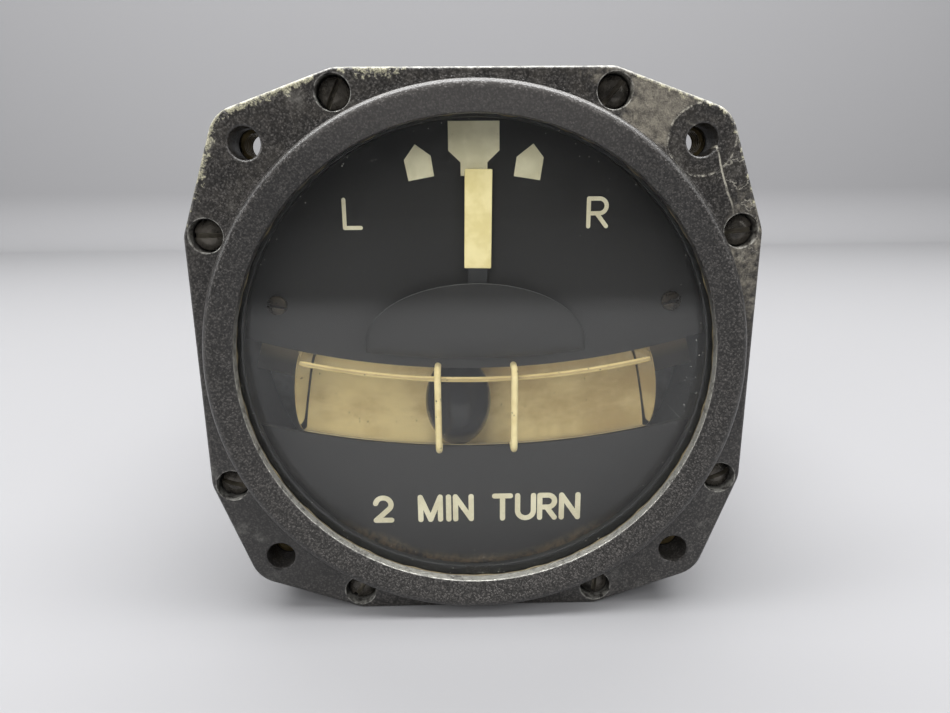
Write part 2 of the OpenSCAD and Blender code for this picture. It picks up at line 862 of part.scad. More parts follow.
module dial_posts() {
    color("#a98a45")
        for (x = [-dial_screw_x, dial_screw_x])
            difference() {
                union() {
                    bar_y(x, dial_screw_z, dial_back, plate_front, dial_post_d);
                    bar_y(x, dial_screw_z, plate_front - thin, plate_back, dial_post_d / 2);
                }
                bar_y(x, dial_screw_z, dial_back - 1, dial_back + dial_thread + 1, dial_shank_d + fixed_play);
            }
}

module dial_screws() {
    color("#6b5a34")
        for (x = [-dial_screw_x, dial_screw_x])
            translate([x, 0, dial_screw_z])
                slotted_screw(dial_depth, dial_head_d, dial_head_h, dial_shank_d, dial_t + dial_thread,
                    sign(x) * 12);
}

module slip_tube() {
    color("#dfe8e0", 0.4)
        swept(-tube_half, tube_half)
            translate([tube_arc_r, tube_y])
                difference() {
                    circle(tube_r);
                    circle(bore_r);
                }
}

module tube_plugs() {
    color("#d8dccb", 0.6)
        swept_ends(tube_half - plug_angle, tube_half)
            translate([tube_arc_r, tube_y])
                circle(bore_r);
}

module slip_ball() {
    color("#0b0b0c")
        translate([-tube_arc_r * sin(ball_angle), tube_y, arc_z - tube_arc_r * cos(ball_angle)])
            sphere(ball_r);
}

module tube_keeper() {
    color("#d9c98c")
        swept(-tube_half + plug_angle / 3, tube_half - plug_angle / 3)
            translate([tube_arc_r - keeper_r * sin(keeper_slope), tube_y - keeper_r * cos(keeper_slope)])
                circle(d = keeper_d, $fn = 24);
}

cradle_front = tube_y - 1;
ear_gap = 0.35;
cradle_over = ear_gap + 0.5;
cradle_post_d = 3.6;
cradle_post_angle = ear_half - (cradle_post_d / 2 + 0.4) / tube_arc_r * 180 / PI;
cradle_post_r = tube_arc_r - cradle_r + ear_h / 2;

module at_cradle_posts() {
    x = cradle_post_r * sin(cradle_post_angle);
    z = arc_z - cradle_post_r * cos(cradle_post_angle);
    for (s = [-1, 1])
        translate([s * x, 0, z])
            children();
}

// Cream trough behind the tube, with a flat ear at each end on a stud that carries it on the front plate
module tube_cradle() {
    color("#cdbb86")
        union() {
            swept(-tube_half - cradle_over, tube_half + cradle_over)
                translate([tube_arc_r, tube_y])
                    difference() {
                        circle(cradle_r);
                        circle(cradle_ri);
                        translate([-2 * cradle_r, -4 * cradle_r + cradle_front - tube_y])
                            square(4 * cradle_r);
                    }
            swept_ends(tube_half + ear_gap, ear_half)
                translate([tube_arc_r - cradle_r, cradle_front])
                    square([ear_h, cradle_t]);
            at_cradle_posts() {
                bar_y(0, 0, cradle_front + cradle_t / 2, plate_front, cradle_post_d);
                bar_y(0, 0, plate_front - thin, plate_back, cradle_post_d / 2);
            }
        }
}

// Index wire: a staple over the tube with its legs in the two dial plates
module index_wire_path(x, d) {
    z = arc_z - sqrt(tube_arc_r * tube_arc_r - x * x);
    leg = wire_leg;
    for (s = [-1, 1]) {
        bar_y(x, z + s * leg, wire_y + wire_bend_r - 5 * blend, dial_back + 0.6, d);
        translate([x, wire_y + wire_bend_r, z + s * (leg - wire_bend_r)])
            rotate([90, 0, 90])
                rotate([0, 0, s > 0 ? 90 : 180])
                    rotate_extrude(angle = 90)
                        translate([wire_bend_r, 0])
                            circle(d = d + blend, $fn = 24);
    }
    translate([x, wire_y, z - leg + wire_bend_r - 5 * blend])
        cylinder(d = d, h = 2 * (leg - wire_bend_r + 5 * blend), $fn = 24);
}

module index_wire_holes() {
    for (x = [-wire_x, wire_x])
        for (s = [-1, 1])
            bar_y(x, arc_z - sqrt(tube_arc_r * tube_arc_r - x * x) + s * wire_leg, dial_depth - 1,
                dial_back + 1, wire_d + loose / 3);
}

module index_wires() {
    color("#e2d6a0")
        for (x = [-wire_x, wire_x])
            index_wire_path(x, wire_d);
}

// Draws in the needle's own frame: its staff at the origin height, turned to where it is set
module on_needle() {
    translate([0, 0, pivot_z])
        rotate([0, needle_set, 0])
            children();
}

module needle() {
    tail = weight_r;
    color("#e3d7a3")
        on_needle()
            difference() {
                union() {
                    translate([-stem_w / 2, arm_front, -tail])
                        cube([stem_w, needle_t, tail + shelf_r]);
                    translate([-stem_w / 2, needle_front, shelf_r - needle_t])
                        cube([stem_w, arm_front + needle_t - needle_front, needle_t]);
                    translate([-stem_w / 2, needle_front, shelf_r - needle_t])
                        cube([stem_w, needle_t, paddle_z - pivot_z - shelf_r + needle_t + thin]);
                    translate([-paddle_w / 2, needle_front, paddle_z - pivot_z])
                        cube([paddle_w, needle_t, needle_tip_z - paddle_z]);
                    bar_y(0, 0, arm_front, arm_front + needle_t, hub_d);
                    bar_y(0, -tail, arm_front, arm_front + needle_t, weight_d - 1);
                }
                bar_y(0, 0, arm_front - 1, arm_front + needle_t + 1, hub_d - 1.6);
                bar_y(0, -tail, arm_front - 1, arm_front + needle_t + 1, weight_stud_d);
            }
}

weight_stud_d = 2;

module needle_hub() {
    color("#b39a56")
        on_needle()
            difference() {
                union() {
                    bar_y(0, 0, arm_front + needle_t, hub_front + hub_t, hub_d);
                    bar_y(0, 0, hub_front, arm_front + needle_t + thin, hub_d - 1.6);
                }
                bar_y(0, 0, hub_front - 1, hub_front + hub_t + 1, staff_d);
            }
}

module needle_weight() {
    color("#b39a56")
        on_needle() {
            bar_y(0, -weight_r, arm_front + needle_t, hub_front + hub_t, weight_d);
            bar_y(0, -weight_r, hub_front, arm_front + needle_t + thin, weight_stud_d);
        }
}

module needle_staff() {
    color("#9a9ca0")
        bar_y(0, pivot_z, hub_front, bridge_back - 0.1, staff_d);
}

// Half the angle that a tooth takes at radius r
function involute(r, base_r) = r <= base_r ? 0 : sqrt(pow(r / base_r, 2) - 1) * 180 / PI - acos(base_r / r);
function tooth_half(r, teeth) =
    let (pitch_r = gear_module * teeth / 2, base_r = pitch_r * cos(pressure_angle))
    90 / teeth - backlash / 4 / pitch_r * 180 / PI + involute(pitch_r, base_r) - involute(r, base_r);

// Outline of one involute tooth from root to root, its middle at the given angle
function tooth_points(teeth, angle) =
    let (
        pitch_r = gear_module * teeth / 2,
        root = pitch_r - 1.25 * gear_module,
        low = max(root, pitch_r * cos(pressure_angle)),
        tip = pitch_r + gear_module,
        radii = concat(root < low ? [root] : [], [for (k = [0:4]) low + (tip - low) * k / 4]))
    concat(
        [for (r = radii) let (a = angle - tooth_half(r, teeth)) r * [cos(a), sin(a)]],
        [for (k = [len(radii) - 1:-1:0])
            let (r = radii[k], a = angle + tooth_half(r, teeth)) r * [cos(a), sin(a)]]);

module staff_pinion() {
    step = 360 / pinion_teeth;
    color("#c7a552")
        difference() {
            translate([0, 0, pivot_z])
                slab(gear_front, gear_t)
                    polygon([for (k = [0:pinion_teeth - 1])
                        each tooth_points(pinion_teeth, 90 + (k + 0.5) * step)]);
            bar_y(0, pivot_z, gear_front - 1, gear_back + 1, staff_d);
        }
}

bush_d = 4.4;

module staff_bushes() {
    color("#c2a14e")
        difference() {
            union() {
                bar_y(0, pivot_z, plate_front, plate_back, bush_d);
                bar_y(0, pivot_z, bridge_front, bridge_back, bush_d);
            }
            bar_y(0, pivot_z, plate_front - 1, bridge_back + 1, staff_d + 2 * running);
        }
}

bridge_foot_x = 9.5;
bridge_foot_z = -5;
bridge_foot_d = 5;
bridge_screw_d = 1.8;
bridge_head_d = 3.4;
bridge_head_h = 0.5;

// Small bridge behind the pinion that carries the rear end of the staff
module staff_bridge() {
    color("#8d9196")
        difference() {
            translate([0, 0, pivot_z])
                union() {
                    slab(bridge_front, bridge_t) {
                        circle(d = bush_d + 4);
                        translate([-bridge_foot_x, bridge_foot_z - bridge_foot_d / 2])
                            square([2 * bridge_foot_x, bridge_foot_d]);
                        translate([-bush_d / 2 - 1, bridge_foot_z])
                            square([bush_d + 2, -bridge_foot_z]);
                        for (x = [-bridge_foot_x, bridge_foot_x])
                            translate([x, bridge_foot_z])
                                circle(d = bridge_foot_d);
                    }
                    for (x = [-bridge_foot_x, bridge_foot_x])
                        bar_y(x, bridge_foot_z, plate_back, bridge_front + thin, bridge_foot_d);
                }
            bar_y(0, pivot_z, bridge_front - 1, bridge_back + 1, bush_d);
            for (x = [-bridge_foot_x, bridge_foot_x])
                bar_y(x, pivot_z + bridge_foot_z, plate_back - 1, bridge_back + 1, bridge_screw_d + loose);
        }
}

module bridge_screws() {
    color("#5a5a58")
        for (x = [-bridge_foot_x, bridge_foot_x])
            translate([x, 0, pivot_z + bridge_foot_z])
                slotted_screw(plate_front, bridge_head_d, bridge_head_h, bridge_screw_d,
                    bridge_back - plate_front, 30);
}

chassis_head_d = 5.2;
chassis_head_h = 1.8;

module frame_plate(y, r) {
    difference() {
        slab(y, plate_t)
            circle(r);
        at_corners(2 * pillar_x, 2 * pillar_z)
            bar_y(0, 0, y - 1, y + plate_t + 1, pillar_screw_d + loose);
        bar_y(0, gimbal_z, y - 1, y + plate_t + 1, bearing_d);
    }
}

module front_plate() {
    color("#9da1a6")
        difference() {
            frame_plate(plate_front, case_ri - loose);
            at_bosses()
                bar_y(0, 0, plate_front - 1, plate_back + 1, boss_screw_d + loose);
            bar_y(0, pivot_z, plate_front - 1, plate_back + 1, bush_d);
            for (x = [-bridge_foot_x, bridge_foot_x])
                bar_y(x, pivot_z + bridge_foot_z, plate_front - 1, plate_back + 1,
                    bridge_screw_d + fixed_play);
            for (x = [-dial_screw_x, dial_screw_x])
                bar_y(x, dial_screw_z, plate_front - 1, plate_back + 1, dial_post_d / 2 + fixed_play);
            for (x = [-dial_foot_x, dial_foot_x])
                bar_y(x, dial_foot_z, plate_front - 1, plate_back + 1, dial_foot_d + fixed_play);
            at_cradle_posts()
                bar_y(0, 0, plate_front - 1, plate_back + 1, cradle_post_d / 2 + fixed_play);
        }
}

module rear_plate() {
    rear_plate_room = 1.6;
    color("#9da1a6")
        difference() {
            frame_plate(rear_plate_front, case_ri - rear_plate_room);
            for (z = [-1, 1])
                bar_y(stop_x, gimbal_z + z * stop_pin_z, rear_plate_front - 1, rear_plate_back + 1,
                    stop_pin_d + fixed_play);
        }
}

pillar_screw_d = 2.2;
pillar_thread = 6;

module frame_pillars() {
    color("#8b8f94")
        at_corners(2 * pillar_x, 2 * pillar_z)
            difference() {
                bar_y(0, 0, plate_back, rear_plate_front, pillar_d);
                bar_y(0, 0, plate_back - 1, plate_back + pillar_thread + 1, pillar_screw_d + fixed_play);
                bar_y(0, 0, rear_plate_front - pillar_thread - 1, rear_plate_front + 1,
                    pillar_screw_d + fixed_play);
            }
}

module pillar_screws() {
    head_d = 4.2;
    head_h = 1.4;
    color("#5a5a58")
        at_corners(2 * pillar_x, 2 * pillar_z) {
            slotted_screw(plate_front, head_d, head_h, pillar_screw_d, plate_t + pillar_thread, 15);
            rear_screw(rear_plate_back, head_d, head_h, pillar_screw_d, plate_t + pillar_thread, 70);
        }
}

module chassis_screws() {
    color("#5a5a58")
        at_bosses()
            slotted_screw(plate_front, chassis_head_d, chassis_head_h, boss_screw_d,
                plate_t + boss_len - 2 * boss_floor, 45);
}

// Ball bearing drawn as its two rings with a groove between them on each face
module bearing_profile(bore_d) {
    groove = 0.5;
    land = (bearing_d - bore_d) / 8;
    mid = (bearing_d + bore_d) / 4;
    polygon([[bore_d / 2, 0], [mid - land, 0], [mid - land, groove], [mid + land, groove], [mid + land, 0],
        [bearing_d / 2, 0], [bearing_d / 2, bearing_w], [mid + land, bearing_w],
        [mid + land, bearing_w - groove], [mid - land, bearing_w - groove], [mid - land, bearing_w],
        [bore_d / 2, bearing_w]]);
}

module pivot_bearings() {
    color("#b9bcc0")
        for (y = [plate_back - bearing_w, rear_plate_front])
            translate([0, y, gimbal_z])
                rotate([-90, 0, 0])
                    rotate_extrude()
                        bearing_profile(pivot_d + 2 * running);
}

module gimbal_frame() {
    boss_r = pivot_d / 2 + 2;
    corner = 4;
    long = gimbal_back - gimbal_front;
    color("#a7abb0")
        difference() {
            union() {
                translate([0, gimbal_front, gimbal_z - gimbal_h / 2])
                    linear_extrude(gimbal_h)
                        difference() {
                            union() {
                                translate([-gimbal_out + corner, 0])
                                    square([2 * (gimbal_out - corner), long]);
                                translate([-gimbal_out, corner])
                                    square([2 * gimbal_out, long - 2 * corner]);
                                for (x = [-gimbal_out + corner, gimbal_out - corner])
                                    for (y = [corner, long - corner])
                                        translate([x, y])
                                            circle(corner);
                            }
                            translate([-gimbal_in, gimbal_t])
                                square([2 * gimbal_in, long - 2 * gimbal_t]);
                        }
                bar_x(-gimbal_out, -gimbal_in, bearing_d + 5);
                bar_x(gimbal_in, gimbal_out, bearing_d + 5);
            }
            bar_y(0, gimbal_z, gimbal_front - 1, gimbal_front + gimbal_t + 1, pivot_d);
            bar_y(0, gimbal_z, gimbal_back - gimbal_t - 1, gimbal_back + 1, pivot_d);
            bar_x(-gimbal_out - 1, gimbal_out + 1, bearing_d);
        }
}

module gimbal_pivots() {
    color("#8f9296")
        union() {
            bar_y(0, gimbal_z, plate_front + 0.2, gimbal_front + gimbal_t, pivot_d);
            bar_y(0, gimbal_z, gimbal_back - gimbal_t, crank_back, pivot_d);
        }
}

module sector_gear() {
    half = 3;
    step = 360 / sector_teeth;
    color("#c7a552")
        difference() {
            translate([0, 0, gimbal_z])
                slab(gear_front, gear_t) {
                    circle(d = pivot_d + 5);
                    polygon(concat([[0, 0]], [for (k = [-half:half])
                        each tooth_points(sector_teeth, -90 + k * step)]));
                }
            bar_y(0, gimbal_z, gear_front - 1, gear_back + 1, pivot_d);
        }
}

// Distance of the stop pins from the gimbal's axis, just outside the crank's path
stop_pin_z = stop_x * sin(gimbal_tilt) + stop_arm_h / 2 + stop_pin_d / 2 + 0.35;

// Crank on the gimbal's rear pivot: damper pin at one side, stop arm at the other, the spring's horn on top
module crank_arm() {
    horn_w = 3;
    crank_wall = 3;
    color("#b7b9bb")
        difference() {
            translate([0, 0, gimbal_z])
                union() {
                    slab(crank_front, crank_t) {
                        circle(d = pivot_d + 2 * crank_wall);
                        translate([-crank_r, -crank_h / 2])
                            square([crank_r, crank_h]);
                        translate([-crank_r, 0])
                            circle(d = crank_h);
                        translate([0, -stop_arm_h / 2])
                            square([stop_x + stop_pin_d, stop_arm_h]);
                        translate([-horn_w / 2, 0])
                            square([horn_w, horn_top - gimbal_z]);
                    }
                    bar_y(-crank_r, 0, crank_front, crank_pin_back, crank_pin_d);
                }
            bar_y(0, gimbal_z, crank_front - 1, crank_back + 1, pivot_d);
        }
}

module rotor_bearings() {
    color("#b9bcc0")
        for (x = [-gimbal_in - gimbal_t / 2, gimbal_in + gimbal_t / 2])
            translate([x - bearing_w / 2, wheel_y, gimbal_z])
                rotate([0, 90, 0])
                    rotate_extrude()
                        bearing_profile(shaft_d + 2 * running);
}

module field_magnet() {
    color("#4d4f55")
        sleeve_x(inner_left, wheel_w / 2 - 1, 2 * magnet_r, 2 * carrier_r);
}

module magnet_carrier() {
    lug = 2.4;
    color("#a7abb0")
        difference() {
            union() {
                bar_x(inner_left, gimbal_in, 2 * carrier_r);
                bar_x(gimbal_in - lug, gimbal_in, bearing_d + 5);
            }
            bar_x(inner_left - 1, gimbal_in + 1, 2 * carrier_ri);
        }
}

module brush_place(s) {
    out = commutator_d / 2 + brush_gap + brush_len / 2;
    translate([commutator_left + commutator_w / 2, wheel_y, gimbal_z + s * out])
        children();
}

module brush_holder() {
    holder_w = brush_w + 2 * brush_wall;
    plate_w = 2.2;
    arm = commutator_left + commutator_w / 2 + holder_w / 2 + gimbal_in;
    low = commutator_d / 2 + brush_gap + 1;
    high = commutator_d / 2 + brush_gap + brush_len;
    color("#6d4a2c")
        difference() {
            union() {
                bar_x(-gimbal_in, -gimbal_in + plate_w, bearing_d + 5);
                for (s = [-1, 1])
                    translate([-gimbal_in, wheel_y - holder_w / 2, gimbal_z + (s > 0 ? low : -high)])
                        cube([arm, holder_w, high - low]);
                translate([-gimbal_in, wheel_y - holder_w / 2, gimbal_z - high])
                    cube([plate_w, holder_w, 2 * high]);
            }
            bar_x(-gimbal_in - 1, -gimbal_in + plate_w + 1, shaft_d + 2 * room);
            for (s = [-1, 1])
                brush_place(s)
                    cube([brush_w, brush_w, brush_len + 2], center = true);
        }
}

module brushes() {
    color("#2a2a2c")
        for (s = [-1, 1])
            brush_place(s)
                cube([brush_w, brush_w, brush_len], center = true);
}

// Gyro wheel: a heavy rim on a web, open to the right so that the magnet stands inside it
module gyro_wheel() {
    hub_r = shaft_r + 2;
    left = -wheel_w / 2;
    color("#b59a4a")
        translate([0, wheel_y, gimbal_z])
            rotate([0, 90, 0])
                rotate_extrude()
                    polygon([[shaft_r, left], [hub_r, left], [hub_r, left + 0.8], [rim_ri - 2, left + 0.8],
                        [rim_ri, left], [wheel_r, left], [wheel_r, -left], [rim_ri, -left],
                        [rim_ri, left + web_t], [shaft_r, left + web_t]]);
}

module rotor_shaft() {
    tip = gimbal_in + gimbal_t / 2 + bearing_w / 2;
    color("#9a9ca0")
        bar_x(-tip, tip, shaft_d);
}

module armature() {
    slots = 12;
    slot_w = 1.2;
    color("#9c5a2e")
        difference() {
            sleeve_x(inner_left, wheel_w / 2 - 1, 2 * rim_ri, 2 * armature_ri);
            for (k = [0:slots - 1])
                translate([0, wheel_y, gimbal_z])
                    rotate([k * 360 / slots, 0, 0])
                        translate([inner_left - 1, -slot_w / 2, armature_ri - 1])
                            cube([wheel_w, slot_w, 1 + armature_t / 2]);
        }
}

module commutator() {
    bars = 12;
    gap_w = 0.5;
    color("#b5703a")
        difference() {
            sleeve_x(commutator_left, -wheel_w / 2, commutator_d, shaft_d);
            for (k = [0:bars - 1])
                translate([0, wheel_y, gimbal_z])
                    rotate([(k + 0.5) * 360 / bars, 0, 0])
                        translate([commutator_left - 1, -gap_w / 2, commutator_d / 2 - 0.6])
                            cube([commutator_w + 1, gap_w, 2]);
        }
}

// Dashpot: an open cup on a foot that is fixed to the rear plate
module damper_cylinder() {
    foot_w = 7;
    low = dashpot_top - dashpot_len;
    color("#b09a55")
        difference() {
            union() {
                translate([-crank_r, damper_y, low])
                    cylinder(d = dashpot_d, h = dashpot_len);
                translate([-crank_r - foot_w / 2, rear_plate_back, low + 2])
                    cube([foot_w, damper_y - rear_plate_back, dashpot_len - 4]);
            }
            translate([-crank_r, damper_y, low + dashpot_floor])
                cylinder(r = dashpot_ri, h = dashpot_len);
        }
}

module damper_piston() {
    color("#c9cbcc")
        difference() {
            union() {
                translate([-crank_r, damper_y, piston_top - piston_h])
                    cylinder(r = dashpot_ri - piston_clearance, h = piston_h);
                translate([-crank_r, damper_y, piston_top - thin])
                    cylinder(d = rod_d, h = gimbal_z - piston_top - yoke_half_h + 2 * thin);
                translate([-crank_r - yoke_half_w, yoke_front, gimbal_z - yoke_half_h])
                    cube([2 * yoke_half_w, yoke_t, 2 * yoke_half_h]);
            }
            translate([-crank_r - yoke_slot_half_w, yoke_front - 1, gimbal_z - yoke_slot_half_h])
                cube([2 * yoke_slot_half_w, yoke_t + 2, 2 * yoke_slot_half_h]);
        }
}

// Centring spring: one wire along its axis, out to a helix and back to the axis at the other end
spring_steps = 8;
function spring_spread(t) = min(1, 4 * t, 4 * (spring_turns - t));
function spring_wind(t) = [
    spring_d / 2 * spring_spread(t) * cos(360 * t),
    spring_y + spring_d / 2 * spring_spread(t) * sin(360 * t),
    spring_low + spring_len * t / spring_turns];
spring_path = concat([[0, spring_y, spring_low - spring_end]],
    [for (k = [0:spring_steps * spring_turns]) spring_wind(k / spring_steps)],
    [[0, spring_y, spring_high + spring_end]]);
function unit(v) = v / norm(v);

module centring_spring() {
    sides = 6;
    n = len(spring_path);
    up = [0, 0, 1];
    function along(k) = unit(spring_path[min(k + 1, n - 1)] - spring_path[max(k - 1, 0)]);
    function across(k) = k == 0 || k == n - 1 ? [0, 1, 0]
        : let (radial = [spring_path[k].x, spring_path[k].y - spring_y, 0])
        norm(radial) < thin ? [0, 1, 0] : unit(radial - along(k) * (radial * along(k)));
    points = [for (k = [0:n - 1])
        let (a = across(k), b = cross(along(k), a))
        for (s = [0:sides - 1])
            spring_path[k] + spring_wire_d / 2 * (a * cos(360 * s / sides) + b * sin(360 * s / sides))];
    walls = [for (k = [0:n - 2]) for (s = [0:sides - 1])
        let (p = k * sides + s, q = k * sides + (s + 1) % sides)
        each [[p, p + sides, q], [q, p + sides, q + sides]]];
    caps = [[for (s = [0:sides - 1]) s], [for (s = [sides - 1:-1:0]) (n - 1) * sides + s]];
    color("#c4c6c8")
        polyhedron(points, concat(walls, caps));
}

module spring_bracket() {
    w = 9;
    depth = spring_y + adjuster_head_d / 2 + 1 - rear_plate_back;
    leg_h = 8;
    color("#9da1a6")
        difference() {
            union() {
                translate([-w / 2, rear_plate_back, bracket_z])
                    cube([w, depth, bracket_t]);
                translate([-w / 2, rear_plate_back, bracket_z - leg_h])
                    cube([w, bracket_t - 0.6, leg_h + thin]);
            }
            translate([0, spring_y, bracket_z - 1])
                cylinder(d = adjuster_d + fixed_play, h = bracket_t + 2);
        }
}

module spring_adjuster() {
    color("#5a5a58")
        difference() {
            union() {
                translate([0, spring_y, adjuster_tip])
                    cylinder(d = adjuster_d, h = bracket_z + bracket_t - adjuster_tip + thin);
                translate([0, spring_y, bracket_z + bracket_t])
                    cylinder(d = adjuster_head_d, h = adjuster_head_h);
            }
            translate([0, spring_y, bracket_z + bracket_t + adjuster_head_h])
                cube([adjuster_head_d + 1, slot_w, 2 * slot_depth], center = true);
        }
}

module stop_pins() {
    color("#8f9296")
        for (z = [-1, 1])
            bar_y(stop_x, gimbal_z + z * stop_pin_z, rear_plate_front, crank_back, stop_pin_d);
}

bezel();
cover_glass();
glass_seal();
glass_retainer();
bezel_screws();
case_gasket();
case_shell();
mounting_inserts();
rear_cover();
rear_cover_screws();
connector_shell();
connector_insulator();
connector_pins();
connector_screws();
upper_dial();
lower_dial();
dial_posts();
dial_screws();
slip_tube();
tube_plugs();
slip_ball();
tube_keeper();
tube_cradle();
index_wires();
needle();
needle_hub();
needle_weight();
needle_staff();
staff_pinion();
staff_bushes();
staff_bridge();
bridge_screws();
front_plate();
rear_plate();
frame_pillars();
pillar_screws();
chassis_screws();
pivot_bearings();
gimbal_frame();
gimbal_pivots();
sector_gear();
crank_arm();
rotor_bearings();
field_magnet();
magnet_carrier();
brush_holder();
brushes();
gyro_wheel();
rotor_shaft();
armature();
commutator();
damper_cylinder();
damper_piston();
centring_spring();
spring_bracket();
spring_adjuster();
stop_pins();
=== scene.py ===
# %% [markdown]
# # A turn and slip indicator
# The solids of the instrument come in as a fixed frame. Each cell after that makes one piece or one
# finish of the real object: first the camera and the tools, then the finishes, then the pieces from the
# bezel at the front to the receptacle at the rear. The room and its lights come last.

# %% Load the solids
import json
import math

import bmesh
import bpy
from mathutils import Matrix, Vector


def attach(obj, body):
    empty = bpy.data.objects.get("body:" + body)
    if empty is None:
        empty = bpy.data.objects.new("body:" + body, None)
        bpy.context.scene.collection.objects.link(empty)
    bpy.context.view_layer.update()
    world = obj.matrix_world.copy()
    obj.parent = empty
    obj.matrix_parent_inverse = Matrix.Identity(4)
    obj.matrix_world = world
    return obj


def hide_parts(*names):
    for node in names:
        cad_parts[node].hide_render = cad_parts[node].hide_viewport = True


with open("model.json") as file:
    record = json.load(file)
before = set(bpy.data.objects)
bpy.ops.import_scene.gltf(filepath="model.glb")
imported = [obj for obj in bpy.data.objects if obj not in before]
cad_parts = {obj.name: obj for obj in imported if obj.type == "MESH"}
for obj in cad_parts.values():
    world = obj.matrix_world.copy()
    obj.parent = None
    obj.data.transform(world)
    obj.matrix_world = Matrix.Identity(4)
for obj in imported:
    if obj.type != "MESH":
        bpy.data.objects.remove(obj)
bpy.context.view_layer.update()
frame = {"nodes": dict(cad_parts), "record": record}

# %% [markdown]
# ## The camera
# The picture was taken from close by, a little above the middle of the glass, with a wide lens. The four
# panel screw holes stand in a square of known size, so their places in the picture give the camera's
# place and its lens. A camera that was set by eye would bend the ring's ellipse the wrong way.

# %% Camera
MM = 0.001
TAU = 2 * math.pi
PICTURE_W = 950
LENS_PIXELS = 668.05
SENSOR_W = 36
YAW, PITCH, ROLL = -1.1325, -14.486, 0.495
CAMERA_AT = Vector((-2.103, -95.864, 25.830)) * MM


def turned(axis, degrees, size=3):
    return Matrix.Rotation(math.radians(degrees), size, axis)


def placed(name, data):
    made = bpy.data.objects.new(name, data)
    bpy.context.scene.collection.objects.link(made)
    return made


aim = turned("Z", YAW) @ turned("X", PITCH) @ turned("Y", ROLL)
camera = placed("camera", bpy.data.cameras.new("camera"))
camera.data.sensor_width = SENSOR_W
camera.data.lens = LENS_PIXELS / PICTURE_W * SENSOR_W
camera.data.clip_start = MM
right, ahead, up = (aim @ Vector(v) for v in ((1, 0, 0), (0, 1, 0), (0, 0, 1)))
axes = Matrix((right, up, -ahead)).transposed().to_4x4()
camera.matrix_world = Matrix.Translation(CAMERA_AT) @ axes
bpy.context.scene.camera = camera
print("lens", round(camera.data.lens, 2), "mm")

# %% [markdown]
# ## Turning a mesh into a piece
# Every piece is drawn in millimetres at its place on the instrument and made metres at the end, so its
# object sits at the origin. Doubles are merged before the normals are worked out. Edges sharper than an
# angle are marked, and so are all edges round a big flat, which keeps flats flat and lets roundings shade
# smoothly.

# %% Piece maker
MERGE = 0.001
BIG_FLAT = 30 * MM * MM
FLAT_ANGLE, SHARP_ANGLE = 4, 35


def as_mesh(name, bm):
    mesh = bpy.data.meshes.new(name)
    bm.to_mesh(mesh)
    return mesh


def piece(name, bm, finishes, stands_for=(), body="housing", sharp=SHARP_ANGLE):
    bmesh.ops.remove_doubles(bm, verts=bm.verts, dist=MERGE)
    bmesh.ops.recalc_face_normals(bm, faces=bm.faces)
    bmesh.ops.scale(bm, vec=(MM, MM, MM), verts=bm.verts)
    for face in bm.faces:
        face.smooth = True
    for edge in bm.edges:
        big = max((f.calc_area() for f in edge.link_faces), default=0) > BIG_FLAT
        limit = math.radians(FLAT_ANGLE if big else sharp)
        edge.smooth = len(edge.link_faces) == 2 and edge.calc_face_angle(0) < limit
    mesh = as_mesh(name, bm)
    bm.free()
    for finish in finishes if isinstance(finishes, list) else [finishes]:
        mesh.materials.append(finish.material)
    made = placed(name, mesh)
    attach(made, body)
    if stands_for:
        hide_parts(*stands_for)
    print(f"{name}: {len(mesh.polygons)} faces")


# %% [markdown]
# ## Drawing tools
# Most of this instrument was turned on a lathe, stamped from sheet or bent from wire. A turned piece is a
# profile that is spun, a stamping is a filled outline that is pulled to its thickness, and a wire is a row
# of circles joined by bridges. A Curve object could make the wires too, but circles keep all of it in one
# mesh. Holes are cut with closed shapes.

# %% Outlines
def rounded(corners, steps=6, closed=True):
    """Corner points (a, b, radius) as one outline, with each corner rounded."""
    path = []
    last = len(corners) - 1
    for k, (a, b, radius) in enumerate(corners):
        here = Vector((a, b))
        if not radius or (not closed and k in (0, last)):
            path.append((a, b))
            continue
        back = (Vector(corners[k - 1][:2]) - here).normalized()
        on = (Vector(corners[(k + 1) % len(corners)][:2]) - here).normalized()
        half = back.angle(on) / 2
        middle = here + (back + on).normalized() * (radius / math.sin(half))
        start = here + back * (radius / math.tan(half)) - middle
        end = here + on * (radius / math.tan(half)) - middle
        low = math.atan2(start.y, start.x)
        sweep = (math.atan2(end.y, end.x) - low + math.pi) % TAU - math.pi
        for s in range(steps + 1):
            t = low + sweep * s / steps
            path.append((middle.x + radius * math.cos(t), middle.y + radius * math.sin(t)))
    return path


def at_depth(outline, y):
    return [(a, y, b) for a, b in outline]


# %% Lathe, plates and skirts
RING_SIDES = 256


def loop(bm, points):
    verts = [bm.verts.new(p) for p in points]
    return [bm.edges.new((verts[k - 1], verts[k])) for k in range(len(verts))]


def skirt(bm, loops):
    for low, high in zip(loops, loops[1:]):
        bmesh.ops.bridge_loops(bm, edges=low + high)


def cap(bm, edges):
    bmesh.ops.contextual_create(bm, geom=edges)


def shell(bm, outlines):
    """Joins a row of outlines and closes both its ends."""
    loops = [loop(bm, points) for points in outlines]
    skirt(bm, loops)
    cap(bm, loops[0])
    cap(bm, loops[-1])


def lathe(bm, profile, sides=RING_SIDES, closed=False, x=0, z=0):
    """Spins a profile of (radius, depth) about the line along Y through x and z."""
    verts = [bm.verts.new((x + r, y, z)) for r, y in profile]
    pairs = list(zip(verts, verts[1:])) + ([(verts[-1], verts[0])] if closed else [])
    edges = [bm.edges.new(pair) for pair in pairs]
    bmesh.ops.spin(bm, geom=verts + edges, cent=(x, 0, z), axis=(0, 1, 0), angle=TAU,
                   steps=sides, use_merge=True)


